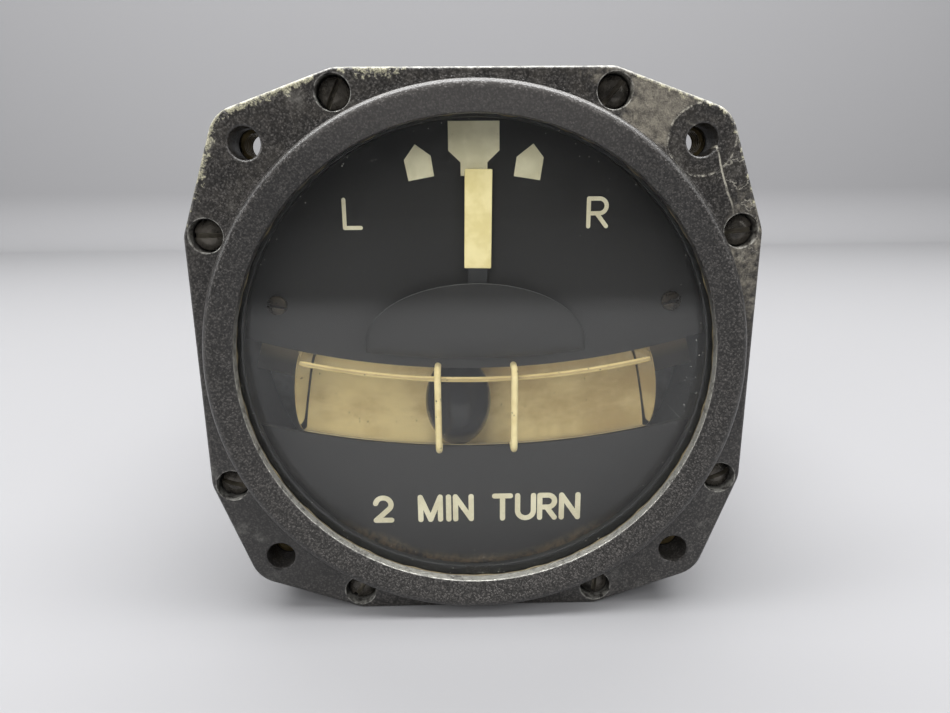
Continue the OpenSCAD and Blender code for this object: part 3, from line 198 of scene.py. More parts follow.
def drill(tool, steps, sides=48, x=0, z=0):
    """A closed cutter for a round hole, from (radius, depth) steps."""
    lathe(tool, [(0, steps[0][1])] + steps + [(0, steps[-1][1])], sides, x=x, z=z)


def thread(bm, crest, root, pitch, low, high, x=0, z=0, sides=48):
    """A screw thread: one ridge that is spun along a helix."""
    ridge = [(root, 0), (crest, 0.35), (crest, 0.5), (root, 0.85)]
    verts = [bm.verts.new((x + r, low + pitch * share, z)) for r, share in ridge]
    edges = [bm.edges.new(pair) for pair in zip(verts, verts[1:])]
    steps = round((high - low - pitch) / pitch * sides)
    bmesh.ops.spin(bm, geom=verts + edges, cent=(x, 0, z), axis=(0, 1, 0), angle=TAU * steps / sides,
                   dvec=(0, pitch / sides, 0), steps=steps)


# %% Wires, stamped marks and cuts
def wire(bm, path, radii, sides=20):
    """Circles along a path, joined by bridges and closed at both ends."""
    loops = []
    for k, (point, radius) in enumerate(zip(path, radii)):
        along = Vector(path[min(k + 1, len(path) - 1)]) - Vector(path[max(k - 1, 0)])
        side = Vector((0, 1, 0)) if abs(along.normalized().y) < 0.9 else Vector((1, 0, 0))
        across = along.cross(side).normalized()
        frame3 = Matrix((across, along.cross(across).normalized(), along.normalized())).transposed()
        made = bmesh.ops.create_circle(bm, segments=sides, radius=radius, cap_ends=k in (0, len(path) - 1),
                                       matrix=Matrix.Translation(point) @ frame3.to_4x4())
        verts = set(made["verts"])
        loops.append([e for e in bm.edges if e.verts[0] in verts and e.verts[1] in verts])
    skirt(bm, loops)


def pulled(bm, faces, depth):
    """Pulls faces out along the depth and gives what that made."""
    made = bmesh.ops.extrude_face_region(bm, geom=faces)["geom"]
    verts = [v for v in made if isinstance(v, bmesh.types.BMVert)]
    bmesh.ops.translate(bm, vec=(0, depth, 0), verts=verts)
    return made


def stamped(bm, outline, y, thick):
    """A flat shape whose face lies thick in front of depth y."""
    face = bm.faces.new([bm.verts.new(p) for p in at_depth(outline, y)])
    return pulled(bm, [face], -thick)


def carve(bm, tool):
    """Cuts a closed shape out of another with a Boolean modifier."""
    pair = []
    for shape in (bm, tool):
        bmesh.ops.remove_doubles(shape, verts=shape.verts, dist=MERGE)
        bmesh.ops.recalc_face_normals(shape, faces=shape.faces)
        pair.append(placed("carving", as_mesh("carving", shape)))
    cut = pair[0].modifiers.new("cut", "BOOLEAN")
    cut.object = pair[1]
    cut.solver = "EXACT"
    done = bpy.data.meshes.new_from_object(pair[0].evaluated_get(bpy.context.evaluated_depsgraph_get()))
    bm.clear()
    bm.from_mesh(done)
    tool.free()
    for mesh in [done] + [o.data for o in pair]:
        bpy.data.meshes.remove(mesh)


def stamp_copy(bm, source, matrix):
    """Adds a copy of a bmesh, put in place by a matrix."""
    mesh = as_mesh("copy", source)
    before = len(bm.verts)
    bm.from_mesh(mesh)
    bm.verts.ensure_lookup_table()
    bmesh.ops.transform(bm, matrix=matrix, verts=bm.verts[before:])
    bpy.data.meshes.remove(mesh)


def block(bm, low, high):
    size = Vector(high) - Vector(low)
    place = Matrix.Translation((Vector(low) + Vector(high)) / 2) @ Matrix.Diagonal((*size, 1))
    bmesh.ops.create_cube(bm, size=1, matrix=place)


def cut_block(bm, low, high):
    tool = bmesh.new()
    block(tool, low, high)
    carve(bm, tool)


# %% [markdown]
# ## Finishes from sums
# A finish is a node tree. Writing the tree as Python sums keeps it readable: a Term stands for a socket,
# and adding or multiplying Terms adds Math nodes. All patterns read the object's own coordinates in
# millimetres, so a scale of 2 means two grains in a millimetre on every piece.

# %% Finish maker
class Term:
    def __init__(self, finish, socket):
        self.finish, self.socket = finish, socket

    def sum(self, operation, *values):
        return self.finish.node("ShaderNodeMath", {"operation": operation}, dict(enumerate(values)))

    def __add__(self, other):
        return self.sum("ADD", self, other)

    def __sub__(self, other):
        return self.sum("SUBTRACT", self, other)

    def __rsub__(self, other):
        return self.sum("SUBTRACT", other, self)

    def __mul__(self, other):
        return self.sum("MULTIPLY", self, other)

    def __pow__(self, other):
        return self.sum("POWER", self, other)

    def __abs__(self):
        return self.sum("ABSOLUTE", self)

    __radd__ = __add__
    __rmul__ = __mul__

    def most(self, other):
        return self.sum("MAXIMUM", self, other)

    def least(self, other):
        return self.sum("MINIMUM", self, other)

    def rise(self, low, high):
        sockets = {"Value": self, "From Min": low, "From Max": high}
        return self.finish.node("ShaderNodeMapRange", {"interpolation_type": "SMOOTHSTEP"}, sockets)


class Finish:
    made = {}

    def __init__(self, name):
        Finish.made[name] = self
        self.material = bpy.data.materials.new(name)
        self.material.use_nodes = True
        self.tree = self.material.node_tree
        self.shader = self.tree.nodes["Principled BSDF"]
        place = self.node("ShaderNodeTexCoord", out="Object")
        self.mm = self.node("ShaderNodeVectorMath", {"operation": "SCALE"}, {0: place, "Scale": 1000})
        parts = [self.node("ShaderNodeSeparateXYZ", {}, {0: self.mm}, out=k) for k in "XYZ"]
        self.x, self.y, self.z = parts

    def node(self, kind, settings=None, sockets=None, out=0):
        made = self.tree.nodes.new(kind)
        for key, value in (settings or {}).items():
            setattr(made, key, value)
        for key, value in (sockets or {}).items():
            if isinstance(value, Term):
                self.tree.links.new(value.socket, made.inputs[key])
            else:
                made.inputs[key].default_value = value
        return Term(self, made.outputs[out])

    def noise(self, per_mm, detail=3, rough=0.5, stretch=(1, 1, 1), place=None):
        if stretch != (1, 1, 1):
            place = self.node("ShaderNodeMapping", {}, {"Vector": self.mm, "Scale": stretch})
        sockets = {"Vector": place or self.mm, "Scale": per_mm, "Detail": detail, "Roughness": rough}
        return self.node("ShaderNodeTexNoise", {}, sockets, out="Fac")

    def cells(self, per_mm):
        sockets = {"Vector": self.mm, "Scale": per_mm}
        return self.node("ShaderNodeTexVoronoi", {"feature": "SMOOTH_F1"}, sockets, out="Distance")

    def specks(self, per_mm, size):
        sockets = {"Vector": self.mm, "Scale": per_mm}
        return self.node("ShaderNodeTexVoronoi", {}, sockets, out="Distance").rise(size, size * 0.5)

    def radius(self):
        return (self.x * self.x + self.z * self.z) ** 0.5

    def from_point(self, a, b, at_a, at_b):
        return ((a - at_a) ** 2 + (b - at_b) ** 2) ** 0.5

    def near(self, x, z, wide, high):
        """A soft round patch about a point of the front, 1 in its middle."""
        return (((self.x - x) * (1 / wide)) ** 2 + ((self.z - z) * (1 / high)) ** 2).rise(1, 0)

    def mix(self, mask, low, high):
        low, high = ((*c, 1) if isinstance(c, tuple) else c for c in (low, high))
        return self.node("ShaderNodeMix", {"data_type": "RGBA"}, {0: mask, 6: low, 7: high}, out=2)

    def bump(self, height, depth):
        sockets = {"Strength": 1.0, "Distance": depth * MM, "Height": height}
        return self.node("ShaderNodeBump", {}, sockets, out="Normal")

    def set(self, **values):
        for key, value in values.items():
            socket = self.shader.inputs[key.replace("_", " ")]
            if isinstance(value, Term):
                self.tree.links.new(value.socket, socket)
            else:
                socket.default_value = (*value, 1) if isinstance(value, tuple) else value
        return self

    def surface(self, shader):
        self.tree.links.new(shader.socket, self.tree.nodes["Material Output"].inputs["Surface"])
        return self


# %% [markdown]
# ## The flange's outline
# The bezel and the case share one outline: four flats, slanted sides, and round corners about the panel
# screw holes. The edge is rounded by drawing the outline again a little inside itself. The slanted side's
# line is kept, because the worn paint follows the same edge.

# %% Flange outline
HOLE = 62.865 / 2
HOLE_R = 2.2
CORNER_R = 5.0
BEND_R = 4.0
FLAT = 41.102
FLAT_END = 19.0545
SCREW_NEAR, SCREW_FAR = FLAT_END, 37.9022
DIAGONAL = math.sqrt(0.5)

to_corner = Vector((HOLE - FLAT_END, HOLE - FLAT))
slant = math.atan2(to_corner.y, to_corner.x) + math.asin(CORNER_R / to_corner.length)
SLANT_X, SLANT_Z = -math.sin(slant), math.cos(slant)
SLANT_REACH = SLANT_X * FLAT_END + SLANT_Z * FLAT


def flange_outline(inset, y):
    flat = FLAT - inset
    reach = SLANT_REACH - inset
    end = (reach - SLANT_Z * flat) / SLANT_X
    tip = reach / (SLANT_X + SLANT_Z)
    bend = BEND_R - inset
    side = [(-end, flat, bend), (end, flat, bend), (tip, tip, CORNER_R - inset)]
    corners = []
    for quarter in range(4):
        c, s = math.cos(quarter * TAU / 4), -math.sin(quarter * TAU / 4)
        corners += [(a * c - b * s, a * s + b * c, r) for a, b, r in side]
    return at_depth(rounded(corners, 8), y)


SCREW_PLACES = [(-SCREW_NEAR, SCREW_FAR), (SCREW_NEAR, SCREW_FAR), (-SCREW_FAR, SCREW_NEAR),
                (SCREW_FAR, SCREW_NEAR), (-SCREW_FAR, -SCREW_NEAR), (SCREW_FAR, -SCREW_NEAR),
                (-SCREW_NEAR, -SCREW_FAR), (SCREW_NEAR, -SCREW_FAR)]
HOLE_PLACES = [(x, z) for x in (-HOLE, HOLE) for z in (-HOLE, HOLE)]
print("slanted side", round(math.degrees(slant), 1), "degrees")

# %% [markdown]
# ## Wrinkle paint on the casting
# The bezel is an alloy casting under thin black paint with an orange-peel grain. Years of handling rubbed
# the paint off the flange's edges, most of all at the two upper corners, left pale dirt beside one panel
# hole and the print of a washer round it, and polished the lip. Each of these is a mask from distances.
# Three masks are painted light instead: the ring's top is mixed lighter as a painted highlight, the
# flange's lower left corner is darkened as painted shade, and the bare lip fades out towards the top as
# painted shade.

# %% Distance from the flange's edge
def past_edge(ax, az):
    """How far a point is outside the flange's outline; it is negative on the flange."""
    edge = (ax - FLAT).most(az - FLAT)
    for a, b in ((ax, az), (az, ax)):
        edge = edge.most(a * SLANT_X + b * SLANT_Z - SLANT_REACH)
    return edge.most((ax + az) * DIAGONAL - (HOLE / DIAGONAL + CORNER_R))


# %% Bezel finish
RING_R = 39.252
LIP_R = 35.002


def bezel_paint():
    f = Finish("wrinkle_black")
    ax, az = abs(f.x), abs(f.z)
    edge = past_edge(ax, az)
    radius = f.radius()
    blotch, crumble, pores = f.noise(0.2, 4), f.noise(0.9, 6, 0.7), f.noise(4.6, 3)
    peel = (f.cells(3.1) * 0.6 + f.cells(5.3) * 0.4).rise(0.02, 0.55)
    flange = f.y.rise(-0.35, -0.1) * f.y.rise(2.5, 0.4)
    left, right = f.x.rise(-18, -24) * f.z.rise(12, 30), f.x.rise(17, 24) * f.z.rise(8, 24)
    band = left * 1.5 + right * 1.1 + f.near(-13.5, 40.2, 7, 3) * 1.5 + f.z.rise(30, 40) * 0.25
    flake = (edge * 0.6 + band * 0.8 + crumble * 3.6 - 2.5).rise(0, 0.35) * flange * band.rise(0.05, 0.4)
    rim = (edge + crumble * 0.9 + f.z.rise(20, 40) * 0.2).rise(0.3, 0.75) * f.y.rise(2, 0.3)
    # The lip's bare metal is real wear; fading it out towards the top is painted shade.
    lip_wear_and_shade = radius.rise(LIP_R + 0.1, LIP_R + 0.01) * f.z.rise(15, -10)
    lip_wear_and_shade = lip_wear_and_shade * (crumble + blotch * 0.5).rise(0.5, 0.8)
    screw = f.from_point(ax, az, SCREW_NEAR, SCREW_FAR)
    screw = screw.least(f.from_point(ax, az, SCREW_FAR, SCREW_NEAR))
    bores = screw.rise(2.6, 2.5) * flange * crumble.rise(0.4, 0.6)
    shoulder = (radius - f.y * 0.5).rise(39.9, 40.4)
    crest = shoulder * (crumble * 0.6 + blotch).rise(0.85, 1.15) * 0.15
    bare = (rim * 0.8).most(lip_wear_and_shade * 0.9).most(crest).most(bores * 0.5)
    washer = f.from_point(f.x, f.z, HOLE, HOLE)
    ring_print = abs(washer + blotch * 0.8 - 5.2).rise(0.22, 0.05) * flange * crumble.rise(0.45, 0.6)
    cracks = abs(f.noise(0.16, 5, 0.6) - 0.5).rise(0.01, 0.002) * right * flange * f.x.rise(33, 36)
    lifted = abs(edge + 2.9 + blotch * 1.2).rise(0.2, 0.04) * flange * crumble.rise(0.35, 0.5)
    lifted = lifted * f.near(37, 31, 9, 11)
    line = ring_print.most(cracks * 0.6).most(lifted * 1.2)
    brown = f.near(25.5, 34.8, 7.5, 6) + f.near(38.5, 14, 5, 18) * 0.55 + f.near(20, 40, 9, 3) * 0.5
    dirt = (brown * 1.1 + crumble * 1.2 - 0.9).rise(0, 0.6) * flange * washer.rise(4.6, 5.3)
    film = (blotch + crumble * 0.8).rise(0.75, 1.2) * flange * f.z.rise(0, 36)
    paint = f.mix(peel * 0.7 + pores * 0.5, (0.095, 0.088, 0.082), (0.008, 0.0075, 0.007))
    paint = f.mix(film * 0.22, paint, (0.1, 0.088, 0.072))
    # Painted shade: the flange's lower left corner is mixed towards near black.
    painted_shade_corner = f.near(-33, -31, 15, 17) * flange
    paint = f.mix(painted_shade_corner * 0.45, paint, (0.012, 0.0115, 0.011))
    # Painted highlight: the ring's top is mixed towards a lighter grey, where the light from above falls on
    # it.
    painted_highlight_ring_top = f.z.rise(26, 38) * f.y.rise(-0.5, -1.5)
    paint = f.mix(painted_highlight_ring_top * 0.2, paint, (0.13, 0.12, 0.112))
    soil = f.mix((crumble + pores * 0.4).rise(0.5, 0.9), (0.05, 0.043, 0.034), (0.2, 0.18, 0.14))
    paint = f.mix(dirt * 0.75, paint, soil)
    primer = f.mix((pores + crumble * 0.5).rise(0.5, 1), (0.04, 0.037, 0.026), (0.36, 0.34, 0.23))
    paint = f.mix(flake * 0.85, paint, primer)
    paint = f.mix(line * 0.7, paint, (0.36, 0.34, 0.28))
    metal = f.mix(crumble, (0.16, 0.16, 0.145), (0.62, 0.61, 0.56))
    height = pores * 0.4 - peel * 0.3 + crumble * flange * 0.5 + flake * 0.4 - line * 0.4
    height = height * (1 - shoulder * 0.65)
    return f.set(Base_Color=f.mix(bare, paint, metal), Metallic=bare * 0.8, Normal=f.bump(height, 0.2),
                 Roughness=0.32 - shoulder * 0.06 + pores * 0.12 + (dirt + flake) * 0.25)


wrinkle_black = bezel_paint()
print(len(wrinkle_black.tree.nodes), "nodes in the bezel's finish")

# %% [markdown]
# ## Paints, metals and mouldings
# The other finishes are simpler and share a recipe: two colours mixed by noise, a roughness that wanders,
# and a shallow bump. A metal gets a stretched noise for its turning or rolling marks. Making one function
# per family and calling it with each piece's own colours is shorter than a tree for each piece. Finishes
# that only unchanged solids wear are found again by name.

# %% Families of finishes
def coated(name, dark, pale, rough, grain=1.2, depth=0.02, dust=0.0, sheen=0.15):
    f = Finish(name)
    wide, fine = f.noise(0.18, 4, 0.6), f.noise(grain, 3)
    colour = f.mix(wide * 0.6 + fine * 0.4, dark, pale)
    colour = f.mix(f.specks(0.9, 0.05) * dust, colour, (0.55, 0.54, 0.5))
    return f.set(Base_Color=colour, Roughness=rough - sheen / 2 + wide * sheen,
                 Normal=f.bump(fine * 0.7 + wide * 0.3, depth))


def worked(name, dark, pale, rough, stretch=(1, 1, 1), grain=2.0, depth=0.008, metallic=1.0):
    f = Finish(name)
    tarnish, marks = f.noise(0.25, 5, 0.65), f.noise(grain, 2, 0.5, stretch)
    return f.set(Base_Color=f.mix(tarnish.rise(0.3, 0.7), dark, pale), Metallic=metallic,
                 Roughness=rough - 0.1 + tarnish * 0.2 + marks * 0.08, Normal=f.bump(marks, depth))


ALONG = (1, 0.08, 1)
black_rubber = coated("black_rubber", (0.012, 0.012, 0.012), (0.025, 0.024, 0.023), 0.8, 3.0)
retainer_black = coated("retainer_black", (0.012, 0.012, 0.012), (0.028, 0.027, 0.026), 0.5, 2.0)
screw_black = worked("screw_black", (0.012, 0.011, 0.0095), (0.1, 0.09, 0.076), 0.24, grain=1.4,
                     depth=0.03, metallic=0.5)
slot_worn = worked("slot_worn", (0.08, 0.07, 0.055), (0.34, 0.31, 0.25), 0.36, metallic=0.7)
insert_brass = worked("insert_brass", (0.07, 0.058, 0.032), (0.3, 0.23, 0.11), 0.26, ALONG, metallic=0.85)
worked("brass", (0.30, 0.21, 0.08), (0.62, 0.46, 0.19), 0.34, ALONG)
dull_brass = worked("dull_brass", (0.01, 0.008, 0.006), (0.06, 0.045, 0.028), 0.24, metallic=0.5)
screw_steel = worked("screw_steel", (0.22, 0.22, 0.21), (0.45, 0.45, 0.44), 0.36)
worked("alloy", (0.48, 0.49, 0.5), (0.7, 0.71, 0.72), 0.4, (0.06, 1, 1))
worked("bearing_steel", (0.42, 0.43, 0.44), (0.62, 0.63, 0.64), 0.24, ALONG)
olive_alloy = worked("olive_alloy", (0.10, 0.105, 0.055), (0.2, 0.205, 0.115), 0.48, grain=1.2,
                     metallic=0.55)
worked("magnet", (0.05, 0.05, 0.055), (0.12, 0.12, 0.13), 0.6, grain=1.0, depth=0.02)
worked("copper", (0.36, 0.15, 0.07), (0.62, 0.3, 0.15), 0.36)
coated("bakelite", (0.07, 0.035, 0.016), (0.16, 0.08, 0.035), 0.42, 0.8)
coated("carbon", (0.018, 0.018, 0.018), (0.045, 0.045, 0.045), 0.62, 4.0)
coated("insulator", (0.018, 0.075, 0.052), (0.04, 0.14, 0.1), 0.4, 0.7)
ball_black = coated("ball_black", (0.004, 0.004, 0.005), (0.008, 0.008, 0.009), 0.12, 0.5, 0.001, 0.0, 0.05)
print(len(Finish.made), "finishes so far")

# %% [markdown]
# ## The case's paint
# The case is stove-painted satin black over bright alloy. Handling has scratched the paint along its length
# and rubbed it through on the rear rim. A scratch is a noise that is stretched along the case and cut off
# high, so that only its thin peaks are left.

# %% Case finish
def case_paint():
    f = Finish("case_black")
    wide, grain, crumble = f.noise(0.12, 4, 0.6), f.noise(1.8, 3), f.noise(0.8, 6, 0.7)
    radius = f.radius()
    rim = radius.rise(38.2, 38.95) * f.y.rise(105.7, 106.5)
    worn = (rim * 0.5 + crumble * 0.9).rise(0.78, 0.95) * rim
    scratch = f.noise(1.6, 2, 0.5, (1, 0.025, 1)).rise(0.66, 0.72) * f.noise(0.05, 3).rise(0.48, 0.62)
    dull = f.noise(0.05, 5, 0.65).rise(0.4, 0.7)
    colour = f.mix(wide * 0.5 + grain * 0.5, (0.014, 0.014, 0.015), (0.036, 0.036, 0.037))
    colour = f.mix(dull * 0.35, colour, (0.075, 0.073, 0.068))
    colour = f.mix(f.specks(0.7, 0.05) * 0.5, colour, (0.5, 0.49, 0.46))
    colour = f.mix(scratch * 0.35, colour, (0.3, 0.3, 0.29))
    return f.set(Base_Color=f.mix(worn, colour, (0.55, 0.55, 0.53)), Metallic=worn * 0.9,
                 Roughness=0.36 + dull * 0.16 + grain * 0.08,
                 Normal=f.bump(grain * 0.7 - scratch * 0.4, 0.05))


case_black = case_paint()
print(len(case_black.tree.nodes), "nodes in the case's finish")

# %% [markdown]
# ## The dial's black and the aged cream
# The dial is matt black with a little dust and brown stains low down beside the glass. The needle, the
# wires and the trough carry an old luminous paint: cream, mottled, with fine dark specks. The printed marks
# are greyer. One function makes every cream. On the slip tube the mottling is drawn out along the tube's
# curve, and the wire there gets a brown line down its middle that is painted shade. The trough gets painted
# shade too: it darkens upwards and at its ears. It also darkens a little to the right.

# %% Dial and cream finishes
def dial_paint():
    f = Finish("dial_black")
    wide, fine = f.noise(0.09, 4, 0.6), f.noise(3.0, 3)
    radius = f.radius()
    stain = (radius + wide * 3).rise(36.2, 38) * f.z.rise(-26, -33) * f.noise(0.9, 5, 0.7).rise(0.35, 0.6)
    colour = f.mix(wide * 0.7 + fine * 0.3, (0.013, 0.012, 0.0115), (0.024, 0.0222, 0.021))
    colour = f.mix(f.specks(0.5, 0.02), colour, (0.4, 0.39, 0.36))
    colour = f.mix(stain * 0.55, colour, (0.17, 0.12, 0.07))
    return f.set(Base_Color=colour, Roughness=0.55 + wide * 0.15, Normal=f.bump(fine, 0.003))


ARC_Z, ARC_R = 121.0, 130.0


def aged_cream(name, dark, pale, spots=0.5, size=0.06, streak=1.0, dark_ends=False, shade_line=None):
    """Cream paint; streak below 1 draws the mottling out along the slip tube's curve."""
    f = Finish(name)
    out = f.from_point(f.x, f.z, 0, ARC_Z)
    lean = 0.003 if dark_ends else 0.0
    place = f.node("ShaderNodeCombineXYZ", {}, {0: f.x * streak, 1: f.y, 2: out})
    mottle, drift = f.noise(0.5, 5, 0.62, place=place), f.noise(0.16, 3, 0.5, place=place)
    fine = f.noise(4.0, 3)
    colour = f.mix((mottle * 0.5 + drift * 0.5 - f.x * lean).rise(0.39, 0.61), dark, pale)
    if shade_line:
        # A brown line down the middle of the wire is painted shade between its highlight and its
        # reflection.
        colour = f.mix(abs(out - shade_line).rise(0.22, 0.1) * 0.7, colour, (0.3, 0.2, 0.085))
    spot = f.specks(1.1, size) * f.noise(0.3, 2).rise(0.42, 0.6) * spots
    colour = f.mix(spot, colour, (0.035, 0.03, 0.022))
    if dark_ends:
        # Painted shade: the trough is mixed darker upwards, and its ears darker still, most at their lower
        # part.
        colour = f.mix(out.rise(ARC_R + 4, ARC_R - 6) * 0.6, colour, (0.3, 0.21, 0.12))
        ear_shade = abs(f.x).rise(28.3, 28.5) * f.y.rise(12, 10.5)
        ear_shade_low = out.rise(ARC_R - 7.5, ARC_R - 3)
        colour = f.mix(ear_shade * (0.62 + ear_shade_low * 0.37), colour, (0.012, 0.011, 0.009))
    return f.set(Base_Color=colour, Roughness=0.62 + fine * 0.16,
                 Normal=f.bump(fine * 0.6 + mottle * 0.4 - spot, 0.03))


dial_black = dial_paint()
needle_cream = aged_cream("needle_cream", (0.79, 0.65, 0.3), (0.92, 0.78, 0.41), 0.6, 0.05)
wire_cream = aged_cream("wire_cream", (0.7, 0.55, 0.26), (0.85, 0.7, 0.37), 1.0, 0.24)
line_cream = aged_cream("line_cream", (0.64, 0.48, 0.2), (0.84, 0.66, 0.31), 0.8, 0.2, 0.3,
                        shade_line=ARC_R - 5.05)
trough_cream = aged_cream("trough_cream", (0.64, 0.47, 0.23), (0.95, 0.77, 0.42), 0.8, 0.1, 0.25, True)
mark_cream = aged_cream("mark_cream", (0.64, 0.57, 0.39), (0.76, 0.69, 0.5), 0.35, 0.05)
mark_grey = aged_cream("mark_grey", (0.64, 0.575, 0.38), (0.76, 0.69, 0.48), 0.4, 0.04)
print("dial and cream finishes are ready")

# %% [markdown]
# ## Two kinds of glass
# The cover is a flat clear disc: what it does to the picture is a faint mirror over the dial, stronger at a
# slant. A clear shader mixed with a mirror by the facing angle shows that and lets the light through. The
# slip tube is a full rod of glass and fluid, and it must bend the view, because that is what makes the ball
# fill the tube. Its outside bends the view and mirrors a little, its inside is true glass, and to the light
# that falls on the trough behind it the rod is clear.

# %% Glass
def facing_gloss(f, base):
    facing = f.node("ShaderNodeLayerWeight", {}, {"Blend": 0.5}, out="Facing")
    return base + facing ** 5 * (1 - base)


def cover_finish():
    f = Finish("cover_glass")
    smear = f.noise(0.05, 4, 0.6)
    clear = f.node("ShaderNodeBsdfTransparent", {}, {"Color": (0.965, 0.975, 0.97, 1)})
    mirror = f.node("ShaderNodeBsdfGlossy", {}, {"Roughness": 0.012, "Color": (1, 1, 1, 1)})
    gloss = facing_gloss(f, 0.029) + smear * 0.01
    pane = f.node("ShaderNodeMixShader", {}, {0: gloss, 1: clear, 2: mirror})
    radius = f.radius()
    dust = (f.specks(0.8, 0.09) * (radius + smear * 12).rise(35, 41)).most(f.specks(0.3, 0.016)) * 0.6
    fluff = f.node("ShaderNodeBsdfDiffuse", {}, {"Color": (0.5, 0.48, 0.44, 1)})
    return f.surface(f.node("ShaderNodeMixShader", {}, {0: dust, 1: pane, 2: fluff}))


def tube_finish():
    f = Finish("tube_glass")
    path = "ShaderNodeLightPath"
    passing = f.node(path, out="Is Shadow Ray").most(f.node(path, out="Is Diffuse Ray"))
    clear = f.node("ShaderNodeBsdfTransparent", {}, {"Color": (0.93, 0.92, 0.88, 1)})
    tint = {"IOR": 1.43, "Roughness": 0.0, "Color": (0.985, 0.975, 0.95, 1)}
    inside, bend = f.node("ShaderNodeBsdfGlass", {}, tint), f.node("ShaderNodeBsdfRefraction", {}, tint)
    mirror = f.node("ShaderNodeBsdfGlossy", {}, {"Roughness": 0.03, "Color": (1, 1, 1, 1)})
    outside = f.node("ShaderNodeMixShader", {}, {0: facing_gloss(f, 0.015) * 0.6, 1: bend, 2: mirror})
    within = f.node("ShaderNodeNewGeometry", out="Backfacing")
    lens = f.node("ShaderNodeMixShader", {}, {0: within, 1: outside, 2: inside})
    return f.surface(f.node("ShaderNodeMixShader", {}, {0: passing, 1: lens, 2: clear}))


cover_glass = cover_finish()
tube_glass = tube_finish()
print("glass is ready")

# %% [markdown]
# ## Bezel
# The bezel is one casting: a flange with a raised ring round the window. A subdivided block would round
# the holes as well, so the flange is built from its outline in steps round the edge, and the window and the
# holes are cut with closed spun cutters. The ring is a spun profile that meets the front face.

# %% Holes in a flange
WINDOW_R = 38.4


def punch(bm, window_r, low, high, hole, screw, sides=(RING_SIDES, 48, 48)):
    """Cuts the window, the panel holes and the screw holes through a plate between two depths."""
    tool = bmesh.new()
    drill(tool, [(window_r, low), (window_r, high)], sides[0])
    for places, steps, count in ((HOLE_PLACES, hole, sides[1]), (SCREW_PLACES, screw, sides[2])):
        for x, z in places:
            drill(tool, steps, count, x, z)
    carve(bm, tool)


def quarter_bend(count):
    return [math.pi / 2 * k / count for k in range(count + 1)]


# %% Bezel
EDGE_R = 0.5
FOOT_R = 39.55
GROOVE_R = 38.1
SCREW_SEAT = 2.8
steps = [(EDGE_R + 0.06, 0)]
steps += [(EDGE_R * (1 - math.sin(t)), EDGE_R * (1 - math.cos(t))) for t in quarter_bend(5)]
steps += [(0, 4.8), (0.2, 5)]
bm = bmesh.new()
shell(bm, [flange_outline(inset, y) for inset, y in steps])
hole = [(HOLE_R + 0.3, -1), (HOLE_R + 0.3, 0), (HOLE_R + 0.2, 0.04), (HOLE_R + 0.06, 0.16), (HOLE_R, 0.4),
        (HOLE_R, 6)]
screw = [(2.52, -1), (2.52, 0), (2.44, 0.04), (2.4, 0.15), (2.4, SCREW_SEAT), (1.5, SCREW_SEAT), (1.5, 6)]
punch(bm, WINDOW_R, -1, 6, hole, screw)
ring = rounded([(FOOT_R + 0.1, 0.1, 0), (RING_R + 0.06, -0.32, 0.3), (RING_R, -4.0, 1.1),
                (LIP_R, -2.4, 0.3), (LIP_R, -0.9, 0.08), (37.0, -0.9, 0), (37.0, 1.65, 0),
                (GROOVE_R, 1.65, 0), (GROOVE_R, 2.9, 0), (37.0, 2.9, 0), (37.0, 5, 0), (38.6, 5, 0),
                (38.6, 0.1, 0)], 7)
lathe(bm, ring, closed=True)
piece("bezel_casting", bm, wrinkle_black, ["bezel"])

# %% [markdown]
# ## Slotted screws
# All the screws on the outside are slotted. Each head is spun with a small round at its rim, and a block
# cuts the slot, whose faces get a worn finish of their own. The cut is made once per kind of screw, and
# copies are turned and put in place, because no two slots on the real one point the same way.

# %% Screws
def slotted_screw(head_r, head_h, shank_r, shank_len, slot_w, slot_depth, dome):
    """A screw whose head's underside is at depth zero and whose head faces the front."""
    top, half = -head_h - dome, slot_w / 2
    profile = rounded([(0, top, 0), (head_r * 0.55, -head_h - dome * 0.8, 2), (head_r, -head_h, 0.22),
                       (head_r, 0, 0.05), (shank_r, 0, 0), (shank_r, shank_len, 0.2), (0, shank_len, 0)],
                      4, closed=False)
    bm = bmesh.new()
    lathe(bm, profile, 48)
    cut_block(bm, (-head_r - 1, top - 1, -half), (head_r + 1, slot_depth - head_h, half))
    bm.normal_update()
    for face in bm.faces:
        middle = face.calc_center_median()
        wall = abs(abs(middle.z) - half) < 0.01 and abs(face.normal.z) > 0.9
        if wall or abs(middle.y - slot_depth + head_h) < 0.01:
            face.material_index = 1
    return bm


def set_screws(name, screw, places, y, finish, node, rear=False):
    """Copies of a screw at (x, z, slot angle) places, with the heads' undersides at depth y."""
    bm = bmesh.new()
    for x, z, angle in places:
        place = Matrix.Translation((x, y, z)) @ turned("Y", -angle, 4)
        stamp_copy(bm, screw, place @ turned("Z", 180, 4) if rear else place)
    screw.free()
    piece(name, bm, finish, [node], sharp=40)


slot_angles = [64, 50, 0, 6, -16, 24, 57, 86]
places = [(x, z, angle) for (x, z), angle in zip(SCREW_PLACES, slot_angles)]
set_screws("bezel_screw_set", slotted_screw(2.15, 1.3, 1.35, 6.6, 0.72, 0.75, 0.7), places, SCREW_SEAT,
           [screw_black, slot_worn], "bezel_screws")

# %% [markdown]
# ## Brass inserts
# Behind each panel hole sits a threaded brass bush. The thread shows through the hole, so it is a real
# ridge along a helix. A bump would not break up the bright line down the bore.

